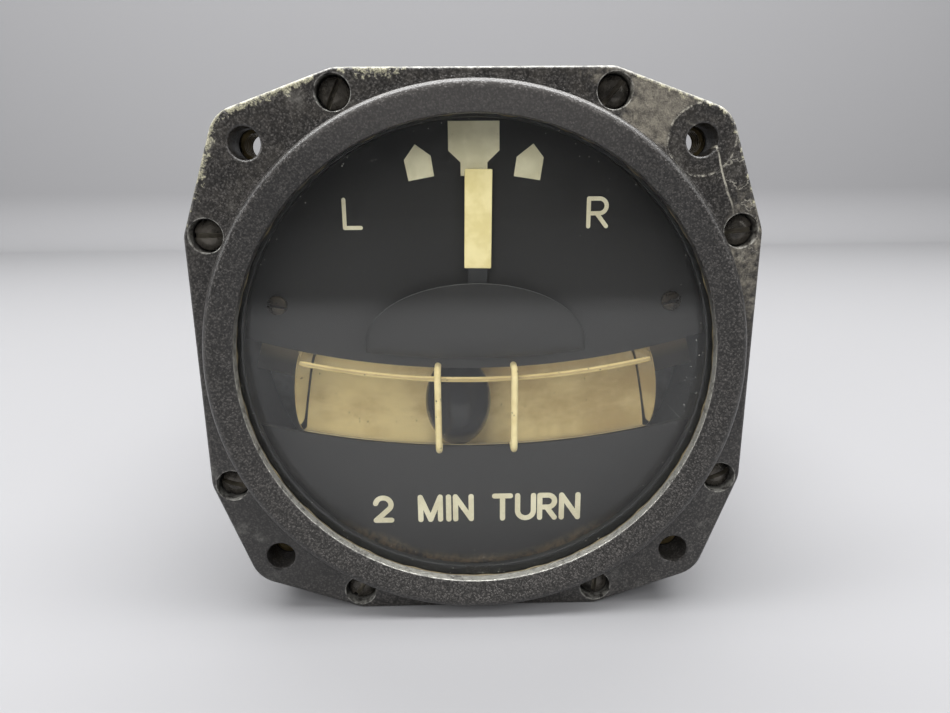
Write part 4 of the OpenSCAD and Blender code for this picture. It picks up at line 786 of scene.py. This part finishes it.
# %% Inserts
bm = bmesh.new()
bush = [(HOLE_R, 5.5), (HOLE_R + 0.1, 5.4), (3.5, 5.4), (3.5, 10), (4.1, 10), (4.1, 10.8), (3.9, 11),
        (HOLE_R + 0.2, 11), (HOLE_R, 10.8)]
for x, z in HOLE_PLACES:
    lathe(bm, bush, 48, closed=True, x=x, z=z)
    thread(bm, 1.74, HOLE_R + 0.02, 0.79, 5.5, 10.9, x, z)
piece("threaded_inserts", bm, insert_brass, ["mounting_inserts"])

# %% [markdown]
# ## Cover glass and what holds it
# The glass lies against the lip on a seal, and a split ring springs into a groove behind it. The seal has
# yellowed and creeps out under the lip, which leaves the broken line between glass and metal.

# %% Glass, seal and retaining ring
bm = bmesh.new()
lathe(bm, [(0, -0.55), (36.55, -0.55), (36.85, -0.25), (36.85, 1.35), (36.55, 1.65), (0, 1.65)])
piece("window_disc", bm, cover_glass, ["cover_glass"])

seal_amber = coated("seal_amber", (0.012, 0.011, 0.009), (0.16, 0.125, 0.06), 0.6, 0.9, 0.05, 0.3)
bm = bmesh.new()
lathe(bm, [(34.86, -0.6), (34.84, -0.72), (34.95, -0.88), (36.85, -0.9), (36.85, -0.56)], closed=True)
for vert in bm.verts:
    if math.hypot(vert.co.x, vert.co.z) < 36:
        around = math.atan2(vert.co.z, vert.co.x)
        creep = 0.5 + 0.25 * math.sin(23 * around) + 0.25 * math.sin(57 * around + 1)
        vert.co += Vector((math.cos(around), 0, math.sin(around))) * (0.24 - 0.22 * creep * creep)
piece("creeping_seal", bm, seal_amber, ["glass_seal"])

bm = bmesh.new()
section = [(34.85, 1.66, 0.2), (37.95, 1.66, 0.1), (37.95, 2.75, 0.1), (34.85, 2.75, 0.2)]
lathe(bm, rounded(section, 4), closed=True)
cut_block(bm, (-2, 0, -40), (2, 5, -33))
piece("split_ring", bm, retainer_black, ["glass_retainer"])

# %% [markdown]
# ## Dial plates
# The dial is two stamped sheets with the slip tube's slot between them. Each is an outline of two arcs that
# is filled and extruded to the sheet's thickness. The holes are then cut, as a punch does it.

# %% Dial plates
DIAL_R = 36.9
DIAL_Y, DIAL_BACK = 6.0, 6.8
SLOT_HALF = 6.65


def slot_edge(radius, count=64):
    """Points along the slot's edge from the dial's left side to its right side."""
    z = (ARC_Z ** 2 + DIAL_R ** 2 - radius ** 2) / (2 * ARC_Z)
    span = math.asin(math.sqrt(DIAL_R ** 2 - z * z) / radius)
    turns = [-span + 2 * span * k / count for k in range(count + 1)]
    return [(radius * math.sin(t), ARC_Z - radius * math.cos(t)) for t in turns]


def dial_arc(start, end, count=128):
    """Points along the dial's rim between two of its points, without the points themselves."""
    low, high = (math.atan2(p[1], p[0]) for p in (start, end))
    sweep = (high - low) % TAU
    turns = [low + sweep * k / count for k in range(1, count)]
    return [(DIAL_R * math.cos(t), DIAL_R * math.sin(t)) for t in turns]


def sheet(outline):
    bm = bmesh.new()
    stamped(bm, outline, DIAL_BACK, DIAL_BACK - DIAL_Y)
    return bm


def slot_top(x):
    return ARC_Z - math.sqrt((ARC_R - SLOT_HALF) ** 2 - x * x)


HOOD_W, HOOD_END, HOOD_RISE, HOOD_FOOT = 17.2, 1.5, 9.9, 1.6
HOOD_SEAM = 0.5
POST_X, POST_Z = 30.3, 8.1
edge = slot_edge(ARC_R - SLOT_HALF)
arch = [((HOOD_W - HOOD_SEAM) * math.cos(t), HOOD_END + (HOOD_RISE - HOOD_SEAM) * math.sin(t))
        for t in (math.radians(d) for d in range(22, 159, 4))]
foot = [(x, slot_top(x) + HOOD_FOOT + HOOD_SEAM) for x in (arch[-1][0], 0, arch[0][0])]
bm = sheet(edge + dial_arc(edge[-1], edge[0]))
tool = bmesh.new()
stamped(tool, arch + foot, DIAL_BACK + 1, 3)
for s in (-1, 1):
    drill(tool, [(1.0, 5), (1.0, 8)], 24, s * POST_X, POST_Z)
carve(bm, tool)
piece("upper_dial_sheet", bm, dial_black, ["upper_dial"])

edge = slot_edge(ARC_R + SLOT_HALF)
bm = sheet(edge[::-1] + dial_arc(edge[0], edge[-1]))
for s in (-1, 1):
    lathe(bm, [(0, 6.5), (1, 6.5), (1, 22.6), (0, 22.6)], 24, x=s * 20.01, z=-25.99)
piece("lower_dial_sheet", bm, dial_black, ["lower_dial"])

# %% [markdown]
# ## Hood
# The needle comes out from under a pressed hood, an eyelid in the upper sheet. It is a grid that is bent to
# shape: across it follows the arch, and from its foot to its rim it swells out steeply and then eases. Its
# rim is bare, so the row of faces there gets a paler finish and draws the thin line that the eye sees.

# %% Hood
hood_rim = coated("hood_rim", (0.10, 0.10, 0.095), (0.3, 0.3, 0.29), 0.4, 1.5)
ACROSS, ALONG_RISE = 84, 28
HOOD_BULGE, HOOD_T = 3.2, 0.5


def swell(v, steep=0.38, ease=0.12):
    if v < steep:
        return math.sqrt(1 - (1 - v / steep) ** 2)
    return 1 - ease * ((v - steep) / (1 - steep)) ** 2


bm = bmesh.new()
bmesh.ops.create_grid(bm, x_segments=ACROSS, y_segments=ALONG_RISE, size=0.5)
rim_line = []
for vert in bm.verts:
    u = math.radians(176 - 172 * (vert.co.x + 0.5))
    v = vert.co.y + 0.5
    v = v * v * (3 - 2 * v)
    x = HOOD_W * math.cos(u)
    low, high = slot_top(x) + HOOD_FOOT, HOOD_END + HOOD_RISE * math.sin(u)
    vert.co = (x, DIAL_Y - HOOD_BULGE * math.sin(u) * swell(v) - 0.01, low + (high - low) * v)
    if v > 0.999:
        rim_line.append(vert)
pulled(bm, bm.faces[:], HOOD_T)
near_rim = set(rim_line)
for face in bm.faces:
    if sum(v in near_rim for v in face.verts) == 2 and abs(face.normal.y) < 0.5:
        face.material_index = 1
piece("needle_hood", bm, [dial_black, hood_rim], sharp=50)

# %% [markdown]
# ## Printed marks
# The marks are a thin coat of paint on the dial: an index at the top, two small house shapes for the rate
# of turn, and engraved style letters. Each letter is drawn with a round pen, so a stroke is a path with
# round ends. A font would give the wrong joints. Strokes that cross lie a hair apart, so no two faces share
# a plane. Straight letters come from a table of strokes in a unit box.

# %% Pen strokes
PAINT = 0.05


def pen(bm, path, width, y, lift):
    """One stroke of a round pen along a path of (x, z) points."""
    points = [Vector(p) for p in path]
    left, right, r = [], [], width / 2
    for k, point in enumerate(points):
        along = points[min(k + 1, len(points) - 1)] - points[max(k - 1, 0)]
        side = Vector((-along.y, along.x)).normalized() * r
        left.append(point + side)
        right.append(point - side)

    def cap(centre, start):
        angle = math.atan2(start.y - centre.y, start.x - centre.x)
        turns = [angle - math.pi * k / 10 for k in range(1, 10)]
        return [centre + Vector((math.cos(t), math.sin(t))) * r for t in turns]

    outline = left + cap(points[-1], left[-1]) + right[::-1] + cap(points[0], right[0])
    stamped(bm, [tuple(p) for p in outline], y, PAINT + lift)


def bow(cx, cz, rx, rz, start, end, count=14):
    turns = [math.radians(start + (end - start) * k / count) for k in range(count + 1)]
    return [(cx + rx * math.cos(t), cz + rz * math.sin(t)) for t in turns]


STRAIGHT = {
    "L": [[(0, 1), (0, 0)], [(0, 0), (1, 0)]],
    "I": [[(0, 1), (0, 0)]],
    "N": [[(0, 0), (0, 1)], [(0, 1), (1, 0)], [(1, 0), (1, 1)]],
    "M": [[(0, 0), (0, 1)], [(0, 1), (0.5, 0)], [(0.5, 0), (1, 1)], [(1, 1), (1, 0)]],
    "T": [[(0, 1), (1, 1)], [(0.5, 1), (0.5, 0)]],
}


def letter_strokes(name, left, right, low, high):
    """Strokes of one letter whose pen centre stays inside the given box."""
    w, h = right - left, high - low
    if name in STRAIGHT:
        return [[(left + w * u, low + h * v) for u, v in path] for path in STRAIGHT[name]]
    if name == "U":
        r = w / 2
        bowl = bow(left + r, low + r, r, r, 190, 350)
        return [[(left, high), (left, low + r)] + bowl + [(right, low + r), (right, high)]]
    if name == "R":
        r = h * 0.265
        bowl = [(left, high), (right - r, high)] + bow(right - r, high - r, r, r, 80, -80)
        return [[(left, low), (left, high)], bowl + [(right - r, high - 2 * r), (left, high - 2 * r)],
                [(left + w * 0.45, high - 2 * r), (right, low)]]
    top = high - h * 0.3
    return [bow(left + w / 2, top, w / 2, h * 0.3, 170, -35) + [(left, low)], [(left, low), (right, low)]]


# %% Marks on the dial
bm = bmesh.new()
index = [(-3.74, 34.65), (3.74, 34.65), (3.74, 30.55), (1.97, 28.9), (1.97, 27), (-1.97, 27), (-1.97, 28.9),
         (-3.74, 30.55)]
left_house = [(-8.59, 31.47), (-6.32, 29.87), (-5.88, 26.98), (-9.64, 26.3), (-10.24, 29.28)]
right_house = [(8.71, 31.46), (10.23, 29.52), (9.74, 26.28), (5.85, 26.9), (6.27, 29.63)]
for outline in (index, left_house, right_house):
    stamped(bm, outline, DIAL_Y, PAINT)
piece("turn_marks", bm, mark_grey)

legend = [("2", -17.3, -13.85), ("M", -9.83, -5.66), ("I", -5.15, -4.32), ("N", -4.0, -0.5),
          ("T", 2.54, 6.06), ("U", 6.39, 9.92), ("R", 10.1, 13.45), ("N", 13.75, 17.35)]
letters = [(name, a, b, -29.05, -24.1, 0.88) for name, a, b in legend]
letters += [("L", -19.65, -16.7, 19.32, 24.0, 0.58), ("R", 16.8, 20.1, 19.2, 23.88, 0.62)]
bm = bmesh.new()
count = 0
for name, a, b, low, high, width in letters:
    inset = width / 2
    for path in letter_strokes(name, a + inset, b - inset, low + inset, high - inset):
        pen(bm, path, width, DIAL_Y, 0.004 * (count % 4))
        count += 1
print(count, "pen strokes")
piece("legends", bm, mark_cream)

# %% [markdown]
# Two small dark screws hold the upper sheet to its posts. They come from the same screw maker as the
# bezel's, with a smaller head and one finish all over.

# %% Dial screws
places = [(-POST_X, POST_Z, -12), (POST_X, POST_Z, 12)]
set_screws("dial_screw_set", slotted_screw(1.5, 0.8, 0.85, 4.6, 0.5, 0.5, 0.45), places,
           DIAL_Y, [dull_brass, dull_brass], "dial_screws")

# %% [markdown]
# ## Slip tube, ball and trough
# The tube is glass with a long bend, so its ends rise. It is drawn as one full rod, because glass and
# fluid bend light almost alike, and a wall with a bore would only add surfaces that the eye does not see.
# Its ends are cut upright, so its sections stand upright too and shrink at the ends to a round edge.

# %% Slip tube
TUBE_Y, TUBE_R, TUBE_DROP = 10.0, 6.7, 0.65
TUBE_HALF = math.radians(12.899)
PLUG = 1.5 / ARC_R


def on_arc(turn, r=ARC_R, y=TUBE_Y):
    return Vector((r * math.sin(turn), y, ARC_Z - r * math.cos(turn)))


def along_curve(bm, sections):
    """Joins cross-sections of (outward, depth) points that stand upright at each x on the tube's curve."""
    shell(bm, [[(x, y, ARC_Z - math.sqrt((ARC_R + out) ** 2 - x * x)) for out, y in section]
               for x, section in sections])


def around_tube(radius, low, high, count):
    """Part of a circle about the tube, from 0 degrees below it to 90 behind it."""
    turns = [math.radians(low + (high - low) * k / count) for k in range(count + 1)]
    return [(TUBE_DROP + radius * math.cos(t), TUBE_Y + radius * math.sin(t)) for t in turns]


END_X, END_R, END_ROUND = 28.25, 0.75, 0.35
ends = [(END_X - END_ROUND * (1 - math.cos(t)), TUBE_R - END_R * (1 - math.sin(t)))
        for t in quarter_bend(8)]
spread = [(END_X - END_ROUND) * (k / 30 - 1) for k in range(1, 60)]
stations = [(-x, r) for x, r in ends] + [(x, TUBE_R) for x in spread] + ends[::-1]
bm = bmesh.new()
along_curve(bm, [(x, around_tube(r, 0, 355, 71)) for x, r in stations])
piece("glass_rod", bm, tube_glass, ["slip_tube", "tube_plugs"])

BALL_R = 5.35
BALL_TURN = -math.radians(1.26491)
bm = bmesh.new()
bmesh.ops.create_icosphere(bm, subdivisions=5, radius=BALL_R, matrix=Matrix.Translation(on_arc(BALL_TURN)))
piece("rolling_ball", bm, ball_black, ["slip_ball"], "ball", 60)

# %% [markdown]
# The trough behind the tube is a half-round channel with a flat ear at each end, painted cream so that the
# ball stands out. Its sections stand upright like the tube's, so it fits close behind the glass. The ears
# are short pieces of a ring, spun about the far centre of the tube's bend.

# %% Trough
TROUGH_RI, TROUGH_R = 6.74, 6.94
CRADLE_R, CRADLE_FRONT = 7.25, 9.0
EAR_HALF = math.asin((DIAL_R - 1.2) / ARC_R)


def bent(bm, profile, low, high, steps):
    """Spins a closed profile of (outward, depth) points along the slip tube's curve."""
    verts = [bm.verts.new(on_arc(low, ARC_R + out, y)) for out, y in profile]
    face = bm.faces.new(verts)
    bmesh.ops.spin(bm, geom=[face], cent=(0, 0, ARC_Z), axis=(0, 1, 0), angle=low - high, steps=steps)


channel = around_tube(TROUGH_RI, -12, 171, 40) + around_tube(TROUGH_R, 171, -12, 40)
strip = around_tube(TROUGH_RI + 0.02, 35, 145, 30) + around_tube(TROUGH_R - 0.02, 145, 35, 30)
bm = bmesh.new()
for section, half in ((channel, END_X), (strip, END_X + 1.3)):
    along_curve(bm, [(half * (k / 36 - 1), section) for k in range(73)])
EAR_START = math.asin((END_X + 0.9) / ARC_R)
ear = [(-CRADLE_R, CRADLE_FRONT), (-CRADLE_R + 5.8, CRADLE_FRONT), (-CRADLE_R + 5.8, CRADLE_FRONT + 0.8),
       (-CRADLE_R, CRADLE_FRONT + 0.8)]
bent(bm, ear, EAR_START, EAR_HALF, 8)
bent(bm, ear, -EAR_HALF, -EAR_START, 8)
POST_TURN = EAR_HALF - 2.2 / ARC_R
for s in (-1, 1):
    place = on_arc(s * POST_TURN, ARC_R - CRADLE_R + 2.9)
    post = [(0, 9.4), (1.8, 9.4), (1.8, 20.05), (0.9, 20.05), (0.9, 22.7), (0, 22.7)]
    lathe(bm, post, 24, x=place.x, z=place.z)
piece("cream_trough", bm, trough_cream, ["tube_cradle"])

# %% [markdown]
# A thin painted wire lies along the tube's upper front, and two staples stand over it as the ball's limits.
# Each is a row of circles along its path: straight legs, a quarter bend, and the straight part in front.

# %% Wires on the tube
KEEPER_R = 6.9
slope = math.radians(46)
line_out, line_y = -KEEPER_R * math.sin(slope), TUBE_Y - KEEPER_R * math.cos(slope)
reach = TUBE_HALF - PLUG / 3
path = [on_arc(-reach + 2 * reach * k / 80, ARC_R + line_out, line_y) for k in range(81)]
bm = bmesh.new()
wire(bm, path, [0.3] + [0.42] * 79 + [0.3])
piece("line_on_tube", bm, line_cream, ["tube_keeper"])

WIRE_R, WIRE_X, WIRE_Y, WIRE_LEG, WIRE_BEND, WIRE_LIFT = 0.52, 5.95, 2.76, 6.95, 1.4, 0.5
bm = bmesh.new()
for s in (-1, 1):
    centre_z = ARC_Z - math.sqrt(ARC_R ** 2 - WIRE_X ** 2)
    half = [(7.4, WIRE_LEG), (5.5, WIRE_LEG)]
    for t in quarter_bend(8):
        half.append((WIRE_Y + WIRE_BEND * (1 - math.sin(t)), WIRE_LEG - WIRE_BEND * (1 - math.cos(t))))
    half += [(WIRE_Y, 4), (WIRE_Y, 2)]
    path = half + [(y, WIRE_LIFT - z) for y, z in half[::-1]]
    wire(bm, [(s * WIRE_X, y, centre_z + z) for y, z in path], [WIRE_R] * len(path), 24)
piece("limit_staples", bm, wire_cream, ["index_wires"])

# %% [markdown]
# ## Needle
# The needle is stamped from thin sheet: an arm behind the dial, a shelf that comes forward under the hood,
# and a blade in front whose upper end is a wide painted paddle. It is drawn upright about its staff and
# turned by the small angle that it is set at. A bevel takes the sharpness off the stamped edges.

# %% Needle
PIVOT_Z = -15.0
BLADE_Y, BLADE_T = 4.9, 0.5
ARM_Y, STEM_HALF = 18.25, 1.425
SET_ANGLE = 0.85
set_angle = Matrix.Translation((0, 0, PIVOT_Z)) @ turned("Y", SET_ANGLE, 4)
stem_dark = coated("stem_dark", (0.016, 0.016, 0.017), (0.035, 0.034, 0.033), 0.5, 2.0)


def stamping(bm, outline, y, thick, soft):
    """A stamped sheet with a small bevel on its front edge."""
    made = stamped(bm, outline, y + thick, thick)
    top = [f for f in made if isinstance(f, bmesh.types.BMFace)]
    bmesh.ops.bevel(bm, geom=list({e for f in top for e in f.edges}), offset=soft, segments=3, profile=0.5,
                    affect="EDGES", material=-1)


def bar(half, low, high, r=0.15):
    return rounded([(-half, low, r), (half, low, r), (half, high, r), (-half, high, r)], 4)


bm = bmesh.new()
stamping(bm, bar(2.025, 28.5, 42.95, 0.18), BLADE_Y - 0.06, BLADE_T + 0.06, 0.12)
bmesh.ops.transform(bm, matrix=set_angle, verts=bm.verts)
piece("needle_paddle", bm, needle_cream, body="pointer")

bm = bmesh.new()
stamping(bm, bar(STEM_HALF, 18.5, 28.6), BLADE_Y, BLADE_T, 0.06)
stamping(bm, bar(STEM_HALF, 0, 19), ARM_Y, BLADE_T, 0.06)
block(bm, (-STEM_HALF, BLADE_Y + 0.1, 18.5), (STEM_HALF, 18.7, 19))
stamping(bm, bar(STEM_HALF, -8.5, 0), ARM_Y, BLADE_T, 0.06)
for inner, outer, z in ((1.7, 2.5, 0), (1.0, 2.3, -8.5)):
    lathe(bm, [(inner, 18.2), (outer, 18.2), (outer, 18.75), (inner, 18.75)], 32, closed=True, z=z)
bmesh.ops.transform(bm, matrix=set_angle, verts=bm.verts)
piece("needle_stem", bm, stem_dark, ["needle"], "pointer")

# %% [markdown]
# ## Case
# The case is a drawn tin with a thick front flange of the bezel's own outline. Seen from behind, the brass
# collars and the ends of the bezel screws show in that flange, so its holes stay open. The barrel is spun
# and meets the flange in a small fillet. The gasket between bezel and case is cut from the same outline.

# %% Case
CASE_R, CASE_RI = 39.002, 37.202
COVER_Y, COVER_BACK = 103.6, 106.6
bm = bmesh.new()
steps = [(0.4, 5.4), (0.3, 5.41), (0.09, 5.5), (0, 5.7), (0, 9.5), (0.07, 9.76), (0.25, 9.93), (0.5, 10),
         (0.6, 10)]
shell(bm, [flange_outline(inset, y) for inset, y in steps])
hole, screw = [(3.51, 4), (3.51, 12)], [(1.4, 4), (1.4, 9.8), (1.6, 10), (1.6, 12)]
punch(bm, WINDOW_R, 4, 12, hole, screw, (RING_SIDES, 48, 32))
barrel = rounded([(39.7, 9.98, 0), (CASE_R, 9.98, 0.6), (CASE_R, COVER_Y, 0.25), (CASE_RI, COVER_Y, 0),
                  (CASE_RI, 5.4, 0), (38.6, 5.4, 0), (38.6, 9, 0), (39.7, 9, 0)], 6)
lathe(bm, barrel, closed=True)
piece("case_can", bm, case_black, ["case_shell"])

bm = bmesh.new()
shell(bm, [flange_outline(0.15, y) for y in (5.02, 5.38)])
hole, screw = [(HOLE_R + 0.02, 4), (HOLE_R + 0.02, 6)], [(1.5, 4), (1.5, 6)]
punch(bm, 37.5, 4, 6, hole, screw, (128, 32, 24))
piece("flange_gasket", bm, black_rubber, ["case_gasket"])

# %% [markdown]
# ## Rear cover and receptacle
# The rear is closed by a turned plate on four screws. The receptacle in its middle is a square flange with
# a threaded barrel, round a moulded insulator with pins. None of it shows in the photograph, so it follows
# the usual form of such an instrument.

# %% Rear cover
bm = bmesh.new()
lathe(bm, rounded([(8.1, COVER_Y + 0.02, 0), (CASE_R, COVER_Y + 0.02, 0.2), (CASE_R, COVER_BACK, 0.8),
                   (8.1, COVER_BACK, 0)], 6), closed=True)
piece("rear_plate_cover", bm, case_black, ["rear_cover"])
BOSS = 24.114
places = [(-BOSS, -BOSS, 35), (-BOSS, BOSS, 80), (BOSS, -BOSS, -20), (BOSS, BOSS, 10)]
set_screws("cover_screw_set", slotted_screw(2.7, 1.9, 1.5, 6, 0.9, 0.85, 0.25), places, COVER_BACK,
           [screw_black, slot_worn], "rear_cover_screws", rear=True)

# %% Receptacle
BARREL_R, BARREL_RI = 7.95, 6.65
SOCKET_FLANGE, SOCKET_BACK = 109.0, 120.0
SOCKET_HALF = 12.7


def socket_outline(inset, y):
    half, r = SOCKET_HALF - inset, 2.5 - inset
    corners = [(-half, -half, r), (half, -half, r), (half, half, r), (-half, half, r)]
    return at_depth(rounded(corners, 8), y)


bm = bmesh.new()
steps = [(0.05, 106.62), (0, 106.7), (0, 108.6), (0.12, 108.88), (0.4, 109), (0.46, 109)]
shell(bm, [socket_outline(inset, y) for inset, y in steps])
root, foot = BARREL_R - 0.42, SOCKET_FLANGE + 0.2
profile = rounded([(8.4, foot, 0.15), (7.6, foot, 0.15), (7.6, 110.6, 0.1), (root, 110.6, 0),
                   (root, SOCKET_BACK, 0.3), (BARREL_RI, SOCKET_BACK, 0.2), (BARREL_RI, 104, 0),
                   (7.9, 104, 0), (7.9, 108, 0), (8.4, 108, 0)], 4)
lathe(bm, profile, 96, closed=True)
thread(bm, BARREL_R, BARREL_R - 0.46, 1.27, 110.5, 119.9, sides=96)
piece("receptacle_shell", bm, olive_alloy, ["connector_shell"])
SOCKET = 18.3 / 2
places = [(-SOCKET, -SOCKET, 20), (-SOCKET, SOCKET, 66), (SOCKET, -SOCKET, -35), (SOCKET, SOCKET, 5)]
set_screws("receptacle_screw_set", slotted_screw(2.2, 1.5, 1.25, 5.5, 0.7, 0.7, 0.3), places, SOCKET_FLANGE,
           [screw_steel, slot_worn], "connector_screws", rear=True)

# %% [markdown]
# ## The works
# The gyro, its gimbal, the gears and the damper are closed inside the case. Their solids already have the
# right shapes, so they stay as they are and get the finish that the record names for them.

# %% Finishes of the works
by_slot = {**Finish.made, "black_steel": screw_black, "cream_paint": needle_cream}
dressed = 0
for part in frame["record"]["subparts"]:
    for holder in frame["nodes"][part["node"]].material_slots:
        holder.material = by_slot[part["material_slot"]].material
        dressed += 1
print(dressed, "solids have their finish")

# %% [markdown]
# ## Floor and light
# The instrument stands on a plain pale floor that curves up into plain walls. The glass mirrors the floor
# in front of it, and the mirror image ends at the hood, so the floor farther off is dark, but to mirrors
# alone. The light is soft and comes from above and in front, with weaker lights at the sides and behind.

# %% Stage
def stage_finish():
    f = Finish("stage")
    far = f.y.rise(-230, -330) * f.node("ShaderNodeLightPath", out="Is Glossy Ray")
    return f.set(Base_Color=f.mix(far, (0.185, 0.185, 0.19), (0.03, 0.03, 0.032)), Roughness=0.9)


FLOOR_Z, WALL_Z, COVE = -41.15, 2500, 60
ROOM_SIDE, ROOM_BACK, ROOM_FRONT, ROOM_CORNER = 1500, 690, -1300, 300


def room_outline(inset, z):
    side, back, front, r = ROOM_SIDE - inset, ROOM_BACK - inset, ROOM_FRONT + inset, ROOM_CORNER - inset
    plan = rounded([(-side, front, r), (side, front, r), (side, back, r), (-side, back, r)], 8)
    return [(a, b, z) for a, b in plan]


bm = bmesh.new()
steps = [(COVE * (1 - math.sin(t)), FLOOR_Z + COVE * (1 - math.cos(t))) for t in quarter_bend(12)]
walls = [loop(bm, room_outline(inset, z)) for inset, z in steps + [(0, WALL_Z)]]
skirt(bm, walls)
cap(bm, walls[0])
bmesh.ops.scale(bm, vec=(MM, MM, MM), verts=bm.verts)
bmesh.ops.recalc_face_normals(bm, faces=bm.faces)
for face in bm.faces:
    face.smooth = True
mesh = as_mesh("floor", bm)
bm.free()
mesh.materials.append(stage_finish().material)
floor = placed("floor", mesh)


# %% Lights
def softbox(name, place, target, wide, high, power, mirrored=True):
    light = bpy.data.lights.new(name, "AREA")
    light.shape, light.size, light.size_y, light.energy = "RECTANGLE", wide, high, power
    lamp = placed(name, light)
    lamp.visible_glossy, lamp.visible_transmission = mirrored, False
    lamp.location = place
    lamp.rotation_euler = (Vector(target) - Vector(place)).to_track_quat("-Z", "Y").to_euler()


softbox("overhead", (0, -0.08, 0.8), (0, 0.02, 0), 1.6, 0.3, 24)
softbox("front", (-0.3, -0.95, 0.7), (0, 0.03, 0), 1.0, 1.0, 16, mirrored=False)
softbox("right", (0.8, -0.5, 0.5), (0, 0.03, 0), 0.6, 0.6, 4)
softbox("left", (-0.8, -0.25, 0.35), (0, 0.03, 0), 0.25, 0.6, 2.5)
softbox("behind", (0, 0.4, 0.8), (0, 0.03, 0), 1.4, 0.3, 11)
FILL, BACKDROP = 0.05, 0.55
world = bpy.data.worlds.new("studio")
world.use_nodes = True
sky = world.node_tree.nodes["Background"]
sky.inputs["Color"].default_value = (0.9, 0.92, 1, 1)
seen = world.node_tree.nodes.new("ShaderNodeLightPath")
level = world.node_tree.nodes.new("ShaderNodeMapRange")
level.inputs["To Min"].default_value = FILL
level.inputs["To Max"].default_value = BACKDROP
world.node_tree.links.new(seen.outputs["Is Camera Ray"], level.inputs["Value"])
world.node_tree.links.new(level.outputs["Result"], sky.inputs["Strength"])
bpy.context.scene.world = world
bpy.context.scene.view_settings.view_transform = "Standard"
print(len(bpy.data.lights), "soft lights")
